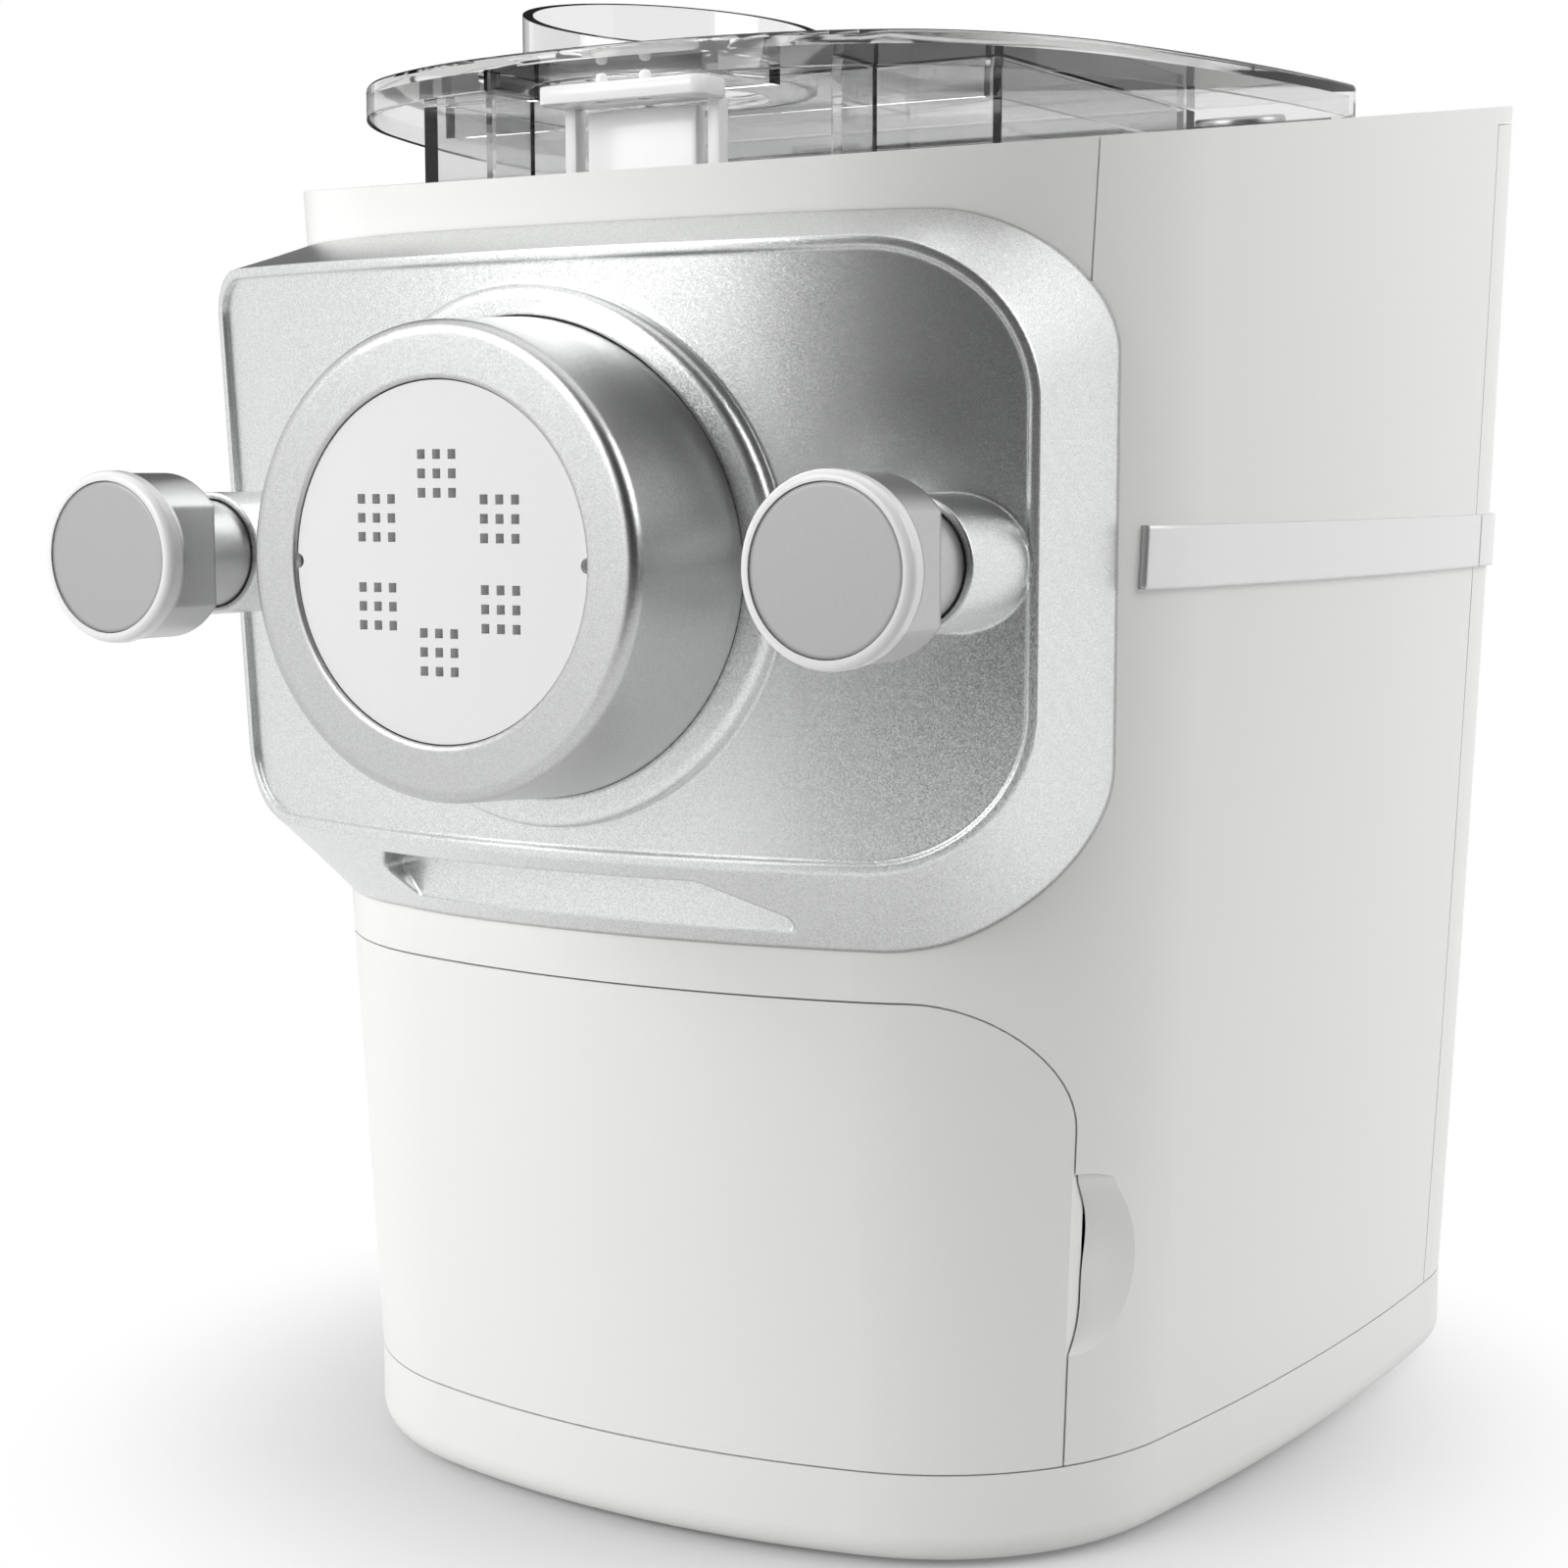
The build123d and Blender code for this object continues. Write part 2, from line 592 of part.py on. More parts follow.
def panel_section(inset, depth):
    """Outline where the straight lines from the crest to the outer line cross a depth."""
    crest = crest_outline(inset)
    outer = inset_outline(OUTER_HALF_WIDTH, OUTER_TOP, OUTER_BOTTOM, OUTER_RADII, inset)
    points = []
    for (cx, cz), (ox, oz) in zip(crest, outer):
        crest_depth = bow_depth(cx, cz)
        outer_depth = front_wall_depth(ox, AXIS_Z + oz)
        share = (depth - crest_depth) / (outer_depth - crest_depth)
        rise = PANEL_TOP_RISE * (bow_depth(cx, 0) - PANEL_FACE) * (cz > 0)
        points.append((cx + (ox - cx) * share, y_at(depth), AXIS_Z + cz + (oz - cz) * share + rise))
    edge = Edge.make_spline(points, periodic=True, parameters=spline_parameters(crest))
    return make_face(edge)


def bevel_form(inset=0.0):
    """The panel's sides and bevels as one form, open in depth."""
    return loft([panel_section(inset, PANEL_FACE - 14), panel_section(inset, 96.0)], ruled=True)


def bow_block(setback):
    """Everything behind the bowed and leaning face, moved back by setback."""
    tilt = math.degrees(math.atan(PANEL_LEAN))
    centred = Pos(0, PANEL_BOW_R, 0) * Cylinder(PANEL_BOW_R - setback, FAR)
    return Pos(0, y_at(PANEL_FACE), AXIS_Z) * Rot(tilt, 0, 0) * centred


def raised_lip():
    """Lip round the ring, parallel to the face, with a rounded outer edge."""
    lip = rod(COLLAR_R, 0, 60) & bow_block(-COLLAR_RISE)
    front_edge = lip.edges().filter_by(GeomType.BSPLINE)
    return fillet(front_edge, COLLAR_EDGE_R)


def finger_grip():
    """Cutter for the grip in the lower bevel, as deep as a wall parallel to the face."""
    outline = Polygon(
        (-GRIP_HALF_WIDTH, -GRIP_TOP - 4), (-GRIP_HALF_WIDTH + 6, -GRIP_BOTTOM),
        (GRIP_HALF_WIDTH, -GRIP_BOTTOM), (GRIP_HALF_WIDTH - 22, -GRIP_TOP),
        (-GRIP_HALF_WIDTH + 4, -GRIP_TOP), align=None,
    )
    return front_view(fillet(outline.vertices(), 2.0), 0, 80) - bow_block(GRIP_SINK)


def grip_backing():
    """Walls that close the finger grip from behind and above."""
    middle = -(GRIP_TOP + GRIP_BOTTOM) / 2
    height = GRIP_BOTTOM - GRIP_TOP + 2 * PANEL_WALL
    zone = front_view(Pos(0, middle) * Rectangle(2 * GRIP_HALF_WIDTH + 2 * PANEL_WALL, height), 30, 80)
    return (zone & bevel_form(PANEL_WALL / 2) & bow_block(PANEL_WALL / 2)) - bow_block(GRIP_SINK + GRIP_BACK)


def make_front_panel():
    """Thin-walled moulding: bowed face, bevel, raised lip, two bosses and the finger grip."""
    form = bevel_form()
    recess = front_view(crest_inside(), 0, 90) - bow_block(CREST_RIM_HEIGHT)
    bosses = [rod(BOSS_R, BOSS_FACE, 66, side * KNOB_X) & form for side in (-1, 1)]
    panel = (form & bow_block(0)) - recess + (raised_lip() & form) + bosses
    cavity = bevel_form(PANEL_WALL) & bow_block(CREST_RIM_HEIGHT + PANEL_WALL)
    panel -= cavity - rod(RING_REAR_R + PANEL_WALL, 0, 100) - bosses
    panel += grip_backing()
    panel -= finger_grip()
    panel -= knob_holes(KNOB_NECK_R + KNOB_CLEARANCE, 0, KNOB_NECK_END + KNOB_CLEARANCE)
    panel -= knob_holes(KNOB_SCREW_R + KNOB_CLEARANCE, 20, 100)
    panel -= rod(RING_REAR_R + 0.1, 0, 100)
    panel -= rod(RING_FLANGE_R + 0.1, RING_LENGTH - RING_FLANGE, 100)
    return largest(panel - tapered_body(-SEAT_GAP))


def crest_inside():
    """Outline of the recessed face, inside the rim of the crest."""
    outline = crest_outline(CREST_RIM)
    rises = [PANEL_TOP_RISE * (bow_depth(x, 0) - PANEL_FACE) * (z > 0) for x, z in outline]
    points = [(x, z + rise) for (x, z), rise in zip(outline, rises)]
    return make_face(Edge.make_spline(points, periodic=True))


def largest(shape):
    """The biggest solid of a cut, without offcuts."""
    return max(shape.solids(), key=lambda solid: solid.volume)


def make_disc_ring():
    """Ring that carries the shaping disc: rounded front lip, barrel and rear flange."""
    lip_back = DISC_SET_BACK + DISC_THICKNESS
    bore, seat = DISC_R + 0.25, DISC_FLANGE_R + 0.25
    flange_front = RING_LENGTH - RING_FLANGE
    tube_clear = TUBE_R + 0.9
    ring = revolved([
        (bore, 0), (RING_R, 0), (RING_REAR_R, flange_front - 14), (RING_REAR_R, flange_front),
        (RING_FLANGE_R, flange_front), (RING_FLANGE_R, RING_LENGTH), (tube_clear, RING_LENGTH),
        (tube_clear, lip_back + DISC_FLANGE + 1), (seat, lip_back + DISC_FLANGE + 1),
        (seat, lip_back), (bore, lip_back),
    ])
    front_edges = ring.edges().group_by(Axis.Y)[0].sort_by(SortBy.LENGTH)
    ring = fillet(front_edges[-1], RING_EDGE_R)
    front_edges = ring.edges().group_by(Axis.Y)[0].sort_by(SortBy.LENGTH)
    return chamfer(front_edges[0], 0.4)


def make_disc(holes):
    """White shaping disc with a rear flange and two key notches in its edge."""
    front = DISC_SET_BACK
    back = front + DISC_THICKNESS
    disc = rod(DISC_R, front, back) + rod(DISC_FLANGE_R, back, back + DISC_FLANGE)
    notches = [rod(NOTCH_R, 0, front + 1.5, side * DISC_R) for side in (-1, 1)]
    return disc - notches - holes


def die_holes():
    """Six groups of three by three square holes, through the disc."""
    sites = []
    for group in range(6):
        angle = math.radians(30 + 60 * group)
        for column in (-1, 0, 1):
            for row in (-1, 0, 1):
                x = DIE_RING_R * math.cos(angle) + column * DIE_PITCH
                z = DIE_RING_R * math.sin(angle) + row * DIE_PITCH
                sites.append((x, z))
    sheet = Sketch()
    for x, z in sites:
        sheet += Pos(x, z) * Rectangle(DIE_HOLE, DIE_HOLE)
    return front_view(sheet, -1, 12)


# ================================================================ knobs
def make_knob_grip(side):
    """Grip with two flats, a round neck that enters the panel's boss, and its clamping screw's seat."""
    x = side * KNOB_X
    grip = rod(KNOB_BODY_R, KNOB_RIM_LENGTH, KNOB_BODY_END, x)
    flats = block(x - KNOB_FLAT, x + KNOB_FLAT, KNOB_RIM_LENGTH + 1.4, KNOB_BODY_END, 0, FAR)
    grip &= flats + rod(KNOB_BODY_R, KNOB_RIM_LENGTH, KNOB_RIM_LENGTH + 1.4, x)
    grip += rod(KNOB_NECK_R, KNOB_BODY_END, KNOB_NECK_END, x)
    return grip - rod(KNOB_SCREW_R, 10, 60, x)


def make_knob_rim(side):
    x = side * KNOB_X
    rim = ring_of(KNOB_RIM_R, KNOB_FACE_R + 0.2, 0, KNOB_RIM_LENGTH, x)
    outer = rim.edges().group_by(Axis.Y)[0].sort_by(SortBy.LENGTH)[-1]
    return fillet(outer, 1.6)


def make_knob_face(side):
    return rod(KNOB_FACE_R, 0.3, KNOB_RIM_LENGTH, side * KNOB_X)


def make_knob_screw(side):
    x = side * KNOB_X
    return rod(KNOB_SCREW_R, 10, KNOB_SCREW_END - 1, x) + rod(KNOB_SCREW_R - 1, 50, KNOB_SCREW_END, x)


# ================================================================ chassis and drive
def lay_place():
    reach = GEAR_MODULE * (OUTPUT_TEETH + LAY_PINION_TEETH) / 2
    return LAY_X, AXIS_Z - math.sqrt(reach**2 - LAY_X**2)


def motor_place():
    reach = GEAR_MODULE * (LAY_GEAR_TEETH + MOTOR_PINION_TEETH) / 2
    return 0.0, lay_place()[1] - math.sqrt(reach**2 - LAY_X**2)


def make_chassis(inside):
    """Bulkheads and floor that carry the chamber, the knob nuts and the gearbox."""
    front = block(-FAR, FAR, BULKHEAD_DEPTH, BULKHEAD_DEPTH + BULKHEAD_THICKNESS, CHASSIS_FLOOR_Z, 262)
    floor = block(-FAR, FAR, BULKHEAD_DEPTH, REAR_BULKHEAD_DEPTH + 3, CHASSIS_FLOOR_Z, CHASSIS_FLOOR_Z + 3)
    rear = block(-FAR, FAR, REAR_BULKHEAD_DEPTH, REAR_BULKHEAD_DEPTH + 3, SEAM_Z + 4, LEDGE_Z - SEAT_GAP)
    chassis = (front + floor + rear) & inside
    for depth in (112.0, 164.0):
        top = AXIS_Z - CHAMBER_HALF_WIDTH - SEAT_GAP
        chassis += block(-24, 24, depth, depth + 4, CHASSIS_FLOOR_Z + 2, top)
    chassis -= rod(TUBE_R + 3, BULKHEAD_DEPTH - 1, BULKHEAD_DEPTH + BULKHEAD_THICKNESS + 1)
    chassis -= rod(BEARING_R, REAR_BULKHEAD_DEPTH - 1, REAR_BULKHEAD_DEPTH + 4)
    lay_x, lay_z = lay_place()
    chassis -= rod(LAY_SHAFT_R + RUNNING_FIT, REAR_BULKHEAD_DEPTH - 1, REAR_BULKHEAD_DEPTH + 4, lay_x, lay_z)
    chassis += gearbox_posts()
    return chassis - knob_holes(NUT_R, BULKHEAD_DEPTH - 1, BULKHEAD_DEPTH + BULKHEAD_THICKNESS + 1)


def post_places():
    return [(-62, 232), (62, 232), (-50, 130), (62, 112)]


def gearbox_posts():
    return [rod(4, REAR_BULKHEAD_DEPTH + 2, PLATE_DEPTH, x, z) for x, z in post_places()]


def make_knob_nuts():
    nuts = [ring_of(NUT_R, KNOB_SCREW_R + RUNNING_FIT, BULKHEAD_DEPTH, BULKHEAD_DEPTH + 10, side * KNOB_X)
            for side in (-1, 1)]
    return Compound([nut.solid() for nut in nuts])


def make_gearbox_plate():
    lay_x, lay_z = lay_place()
    motor_x, motor_z = motor_place()
    depths = (PLATE_DEPTH, PLATE_DEPTH + PLATE_THICKNESS)
    plate = block(-70, 70, *depths, 84, 240)
    plate -= rod(BEARING_R, depths[0] - 1, depths[1] + 1)
    plate -= rod(LAY_SHAFT_R + RUNNING_FIT, depths[0] - 1, depths[1] + 1, lay_x, lay_z)
    return plate - rod(MOTOR_SHAFT_R + 2, depths[0] - 1, depths[1] + 1, motor_x, motor_z)


def gear_sheet(teeth, first_tooth):
    """Spur gear outline with straight-flanked teeth and backlash, its first tooth at an angle."""
    pitch_r = GEAR_MODULE * teeth / 2
    levels = ((-1.2, 0.62), (0.0, 0.44), (0.9, 0.22))
    points = []
    for tooth in range(teeth):
        centre = first_tooth + 360 * tooth / teeth
        half_steps = [(pitch_r + GEAR_MODULE * rise, 180 / teeth * share) for rise, share in levels]
        half_steps[0] = (pitch_r - 1.2 * GEAR_MODULE, 180 / teeth * 0.66)
        left = [(r, centre - half) for r, half in (half_steps[0], half_steps[-1])]
        right = [(r, centre + half) for r, half in (half_steps[-1], half_steps[0])]
        for r, angle in left + right:
            points.append((r * math.cos(math.radians(angle)), r * math.sin(math.radians(angle))))
    return Polygon(*points, align=None)


def make_gear(teeth, first_tooth, place, depth, width, bore_r):
    x, z = place
    outline = Pos(x, z - AXIS_Z) * (gear_sheet(teeth, first_tooth) - Circle(bore_r))
    return front_view(outline, depth, depth + width)


def mesh_angles():
    """First-tooth angles that put every pair of gears in mesh at rest."""
    lay_x, lay_z = lay_place()
    to_lay = math.degrees(math.atan2(lay_z - AXIS_Z, lay_x))
    to_motor = math.degrees(math.atan2(motor_place()[1] - lay_z, -lay_x))
    return {
        "output_gear": to_lay,
        "lay_pinion": to_lay + 180 + 180 / LAY_PINION_TEETH,
        "lay_gear": to_motor,
        "motor_pinion": to_motor + 180 + 180 / MOTOR_PINION_TEETH,
    }


def make_drive_shaft():
    shaft = rod(SHAFT_R, CHAMBER_REAR - 11, PLATE_DEPTH + PLATE_THICKNESS + 3)
    return shaft - rod(3, CHAMBER_REAR - 12, CHAMBER_REAR - 2)


def make_lay_shaft():
    lay_x, lay_z = lay_place()
    return rod(LAY_SHAFT_R, REAR_BULKHEAD_DEPTH - 1, PLATE_DEPTH + PLATE_THICKNESS + 1, lay_x, lay_z)


def make_bearings():
    """Two ball bearings, each drawn as one ring with a grooved rear face."""
    bearings = []
    for depth in (REAR_BULKHEAD_DEPTH - 0.2, PLATE_DEPTH - 3.5):
        bearing = ring_of(BEARING_R, SHAFT_R + RUNNING_FIT, depth, depth + 7)
        groove = ring_of(BEARING_R - 1.6, SHAFT_R + 1.6, depth + 6.4, depth + 8)
        bearings.append((bearing - groove).solid())
    return Compound(bearings)


def make_motor():
    x, z = motor_place()
    front = PLATE_DEPTH + PLATE_THICKNESS
    motor = rod(MOTOR_R, front, front + MOTOR_LENGTH, x, z)
    motor = chamfer(motor.edges().filter_by(GeomType.CIRCLE), 1.5)
    motor += ring_of(9, MOTOR_SHAFT_R + 1, front + MOTOR_LENGTH - 1, front + MOTOR_LENGTH + 2, x, z)
    for angle in (0, 90, 180, 270):
        slot = block(-4, 4, front + 20, front + 52, MOTOR_R - 2.5, MOTOR_R + 5)
        motor -= Pos(x, 0, z) * Rot(0, angle, 0) * slot
    return motor - rod(MOTOR_SHAFT_R + RUNNING_FIT, 0, FAR, x, z)


def make_motor_shaft():
    x, z = motor_place()
    return rod(MOTOR_SHAFT_R, LAY_GEAR_DEPTH - 2, PLATE_DEPTH + PLATE_THICKNESS + MOTOR_LENGTH + 11, x, z)


def make_fan():
    """Cooling fan on the tail of the motor shaft: hub, back plate and flat blades."""
    x, z = motor_place()
    front = PLATE_DEPTH + PLATE_THICKNESS + MOTOR_LENGTH + 3.5
    fan = rod(7, front, front + 6, x, z) + rod(FAN_R, front, front + 1.2, x, z)
    for blade in range(8):
        vane = block(6, FAN_R, front + 1, front + 6, -0.7, 0.7)
        fan += Pos(x, 0, z) * Rot(0, 45 * blade, 0) * vane
    return fan - rod(MOTOR_SHAFT_R, front - 1, front + 8, x, z)


# ================================================================ chamber, tube, auger, paddle
def drum(half_width, depth_low, depth_high, top_z):
    """Round-bottomed trough: a cylinder below the axis and straight walls above it."""
    trough = rod(half_width, depth_low, depth_high)
    return trough + block(-half_width, half_width, depth_low, depth_high, AXIS_Z, top_z) - block(
        -FAR, FAR, depth_low - 1, depth_high + 1, top_z, FAR)


def make_chamber():
    plate_low = LID_TOP_Z - LID_PLATE
    top = plate_low - SEAT_GAP
    outer = drum(CHAMBER_HALF_WIDTH, CHAMBER_FRONT, CHAMBER_REAR, top)
    inner_depths = (CHAMBER_FRONT + CHAMBER_WALL, CHAMBER_REAR - CHAMBER_WALL)
    chamber = outer - drum(CHAMBER_HALF_WIDTH - CHAMBER_WALL, *inner_depths, top + 5)
    for side in (-1, 1):
        x = side * CHAMBER_RIB_X
        chamber += block(x - 1.2, x + 1.2, CHAMBER_RIB_DEPTH, CHAMBER_FRONT + 1, LEDGE_Z + 3.4, top)
    chamber -= rod(TUBE_R + 0.15, CHAMBER_FRONT - 1, CHAMBER_FRONT + CHAMBER_WALL + 1)
    return chamber - rod(SHAFT_R + 1.2, CHAMBER_REAR - CHAMBER_WALL - 1, CHAMBER_REAR + 1)


def make_shaft_seal():
    return ring_of(SHAFT_R + 5, SHAFT_R + 0.3, CHAMBER_REAR, REAR_BULKHEAD_DEPTH - 0.3)


def make_extrusion_tube():
    front = DISC_SET_BACK + DISC_THICKNESS + DISC_FLANGE + SEAT_GAP
    tube = rod(TUBE_R, front, CHAMBER_FRONT + 6)
    tube += rod(TUBE_FLANGE_R, CHAMBER_FRONT - 4.4, CHAMBER_FRONT - 2)
    return tube - rod(TUBE_BORE_R, front - 1, CHAMBER_FRONT + 7)


def make_tube_seal():
    return ring_of(TUBE_FLANGE_R - 1, TUBE_R, CHAMBER_FRONT - 2, CHAMBER_FRONT)


def make_auger():
    """Extrusion screw: a core with one helical flight that fills the tube, and a long rear hub."""
    start, turns_end = 14.0, CHAMBER_FRONT + 8
    core = rod(AUGER_CORE_R, start - 2, CHAMBER_REAR - 12)
    helix = Helix(pitch=AUGER_PITCH, height=turns_end - start, radius=(AUGER_CORE_R + AUGER_R) / 2 - 0.4)
    radial = AUGER_R - AUGER_CORE_R + 0.8
    profile = Plane(origin=helix @ 0, x_dir=(1, 0, 0), z_dir=helix % 0) * Rectangle(radial, AUGER_FLIGHT)
    flight = sweep(profile, path=helix, is_frenet=True)
    flight = Pos(0, y_at(start), AXIS_Z) * Rot(-90, 0, 0) * flight
    return core + (flight & ring_of(AUGER_R, AUGER_CORE_R - 0.5, start - 4, turns_end + 4))


def make_paddle():
    """Mixing paddle: hub, two arms and two long fingers that sweep the drum."""
    back = CHAMBER_REAR - 14.0
    hub = ring_of(16, AUGER_CORE_R, back - 14, back)
    arms = block(-5, 5, back - 6, back, AXIS_Z - PADDLE_REACH, AXIS_Z + PADDLE_REACH)
    arms -= rod(AUGER_CORE_R, back - 20, back + 5)
    front = CHAMBER_FRONT + 14
    fingers = block(-5, 5, front, back, AXIS_Z + PADDLE_REACH - 6, AXIS_Z + PADDLE_REACH)
    fingers += block(-5, 5, front + 34, back, AXIS_Z - PADDLE_REACH, AXIS_Z - PADDLE_REACH + 6)
    return hub + arms + fingers


# ================================================================ lid and lid lock
def lid_plan(inset):
    radii = (205 - inset, 50 - inset, SIDE_BOW_R - inset, REAR_CORNER_R - inset, REAR_BOW_R)
    return plan_arcs(LID_FRONT + inset, LID_HALF_WIDTH - inset, DEPTH - 10, radii)


def lid_slab(inset, z_low, z_high):
    face = plan_face(lid_plan(inset), z_low)
    slab = extrude(face, z_high - z_low, dir=(0, 0, 1)) & block(-FAR, FAR, 0, LID_REAR - inset, 0, FAR)
    rear_edges = slab.edges().filter_by(Axis.Z).sort_by(Axis.Y)[-2:]
    return fillet(rear_edges, LID_REAR_CORNER_R - inset)


def inlet_form(radius, lift=0.0):
    """Water inlet's wall as a solid, cut off on the slant."""
    centre = (COLLAR_X, y_at(COLLAR_DEPTH))
    column = Pos(*centre, LID_TOP_Z - LID_PLATE - 2) * Cylinder(
        radius, 60, align=(Align.CENTER, Align.CENTER, Align.MIN))
    normal = Plane(origin=(*centre, INLET_MEAN_Z), z_dir=(INLET_FALL_X, -INLET_RISE_Y, 1))
    return column - normal * Box(FAR, FAR, 60, align=(Align.CENTER, Align.CENTER, Align.MIN))


def make_lid():
    low = LID_TOP_Z - LID_RIM_HEIGHT
    plate_low = LID_TOP_Z - LID_PLATE
    lid = lid_slab(0, low, LID_TOP_Z)
    rim_edges = lid.faces().sort_by(Axis.Z)[-1].edges()
    lid = fillet(rim_edges, 1.0)
    notch = LID_NOTCH_HALF_WIDTH
    hollow = lid_slab(LID_RIM_WALL, low - 1, plate_low)
    wall = block(-notch - LID_RIM_WALL, notch + LID_RIM_WALL, 0, LID_NOTCH_DEPTH + LID_RIM_WALL, 0, FAR)
    lid -= hollow - wall
    lid -= block(-notch, notch, 0, LID_NOTCH_DEPTH, 0, plate_low)
    skirt_half = CHAMBER_HALF_WIDTH - CHAMBER_WALL - 0.5
    skirt = block(-skirt_half, skirt_half, CHAMBER_FRONT + 3, CHAMBER_REAR - 3, plate_low - 7, plate_low + 0.5)
    skirt -= block(2 - skirt_half, skirt_half - 2, CHAMBER_FRONT + 5, CHAMBER_REAR - 5, 0, FAR)
    lid += skirt
    above_plate = block(-FAR, FAR, 0, FAR, LID_TOP_Z, FAR)
    lid += (inlet_form(INLET_R) - inlet_form(INLET_R - INLET_WALL)) & above_plate
    return lid - Pos(COLLAR_X, y_at(INLET_HOLE_DEPTH), LID_TOP_Z) * Cylinder(INLET_HOLE_R, 4 * LID_PLATE)


def make_lock_frame():
    """White frame behind the upper front cover that carries the two lid pins."""
    bar_low = LOCK_BAR_TOP_Z - LOCK_BAR_HEIGHT
    bar = block(-LOCK_HALF_WIDTH, LOCK_HALF_WIDTH, LOCK_BAR_FRONT, LOCK_BAR_FRONT + LOCK_BAR_DEPTH,
                bar_low, LOCK_BAR_TOP_Z)
    bar = fillet(bar.edges().filter_by(Axis.Z), 2.0)
    back = LOCK_LEG_FRONT + LOCK_LEG_DEPTH
    frame = bar + block(-LOCK_LEG_X - LOCK_LEG_WIDTH / 2, LOCK_LEG_X + LOCK_LEG_WIDTH / 2,
                        LOCK_LEG_FRONT - 2, back, bar_low, LOCK_BAR_TOP_Z)
    for side in (-1, 1):
        x = side * LOCK_LEG_X
        frame += block(x - LOCK_LEG_WIDTH / 2, x + LOCK_LEG_WIDTH / 2, LOCK_LEG_FRONT, back,
                       LOCK_FOOT_Z, LOCK_BAR_TOP_Z)
        frame += block(x - LOCK_LEG_WIDTH / 2, x + LOCK_LEG_WIDTH / 2, LOCK_LEG_FRONT, BULKHEAD_DEPTH,
                       LOCK_FOOT_Z, LOCK_FOOT_Z + 6)
    return frame - [lock_pin_rod(side, LOCK_PIN_R + 0.1, bar_low - 1, LOCK_BAR_TOP_Z + 1) for side in (-1, 1)]


def lock_pin_rod(side, radius, z_low, z_high):
    centre = (side * LOCK_PIN_X, y_at(LOCK_BAR_FRONT + 2.4), (z_low + z_high) / 2)
    return Pos(*centre) * Cylinder(radius, z_high - z_low)


def make_lock_plate():
    inner = LOCK_LEG_X - LOCK_LEG_WIDTH / 2
    return block(-inner, inner, LOCK_LEG_FRONT + 1.6, LOCK_LEG_FRONT + 3.6, LOCK_FOOT_Z + 6,
                 LOCK_BAR_TOP_Z - LOCK_BAR_HEIGHT)


def make_lock_pins():
    """The two round-nosed pins and the yoke that joins them under the bar."""
    bar_low = LOCK_BAR_TOP_Z - LOCK_BAR_HEIGHT
    pins = block(-LOCK_PIN_X - 2, LOCK_PIN_X + 2, LOCK_BAR_FRONT + 0.6, LOCK_BAR_FRONT + 4.6,
                 bar_low - 2.5, bar_low - 0.5)
    for side in (-1, 1):
        pin = lock_pin_rod(side, LOCK_PIN_R, bar_low - 2, LOCK_PIN_TOP_Z)
        pins += fillet(pin.edges().group_by(Axis.Z)[-1], 1.0)
    return pins


def make_lock_switch():
    """Switch under the pins' yoke, carried by the lock plate."""
    top = LOCK_BAR_TOP_Z - LOCK_BAR_HEIGHT - 2.5 - LOCK_PIN_TRAVEL - SEAT_GAP
    return block(-9, 9, LOCK_BAR_FRONT + 0.4, LOCK_LEG_FRONT + 1.6, top - 9, top)


# ================================================================ drawer
def make_drawer_front(shell):
    front = shell & drawer_zone(SEAM_GAP)
    return largest(front)


def make_drawer_tray(inside):
    half = TRAY_HALF_WIDTH
    tray = block(-half, half, 40, TRAY_REAR, TRAY_FLOOR_Z, TRAY_TOP_Z)
    tray -= block(TRAY_WALL - half, half - TRAY_WALL, 0, TRAY_REAR - TRAY_WALL, TRAY_FLOOR_Z + TRAY_WALL, FAR)
    for index in range(4):
        depth = disc_rack_depth(index) - 5.2
        for side in (-1, 1):
            span = sorted((side * (half - 1), side * (half - 14)))
            tray += block(*span, depth, depth + 2, TRAY_FLOOR_Z + 1, TRAY_TOP_Z - 30)
    return tray & inside


def disc_rack_depth(index):
    return 100.0 + 20.0 * index


def make_spare_disc(index):
    """Spare shaping disc standing in the drawer's rack."""
    depth = disc_rack_depth(index)
    x, z = 0.0, TRAY_FLOOR_Z + TRAY_WALL + DISC_FLANGE_R + 0.1
    disc = rod(DISC_R, depth, depth + DISC_THICKNESS, x, z)
    disc += rod(DISC_FLANGE_R, depth + DISC_THICKNESS, depth + DISC_THICKNESS + DISC_FLANGE, x, z)
    cutters = []
    if index == 0:
        for angle in range(0, 360, 30):
            cutters.append(Pos(0, 0, z) * Rot(0, angle, 0) * rod(2.0, depth - 1, depth + 9, 18, 0))
    if index == 1:
        for column in (-2, -1, 0, 1, 2):
            cutters.append(block(column * 9 - 1, column * 9 + 1, depth - 1, depth + 9, z - 14, z + 14))
    if index == 2:
        for row in (-1, 1):
            cutters.append(block(-22, 22, depth - 1, depth + 9, z + row * 8 - 0.9, z + row * 8 + 0.9))
    return disc - cutters


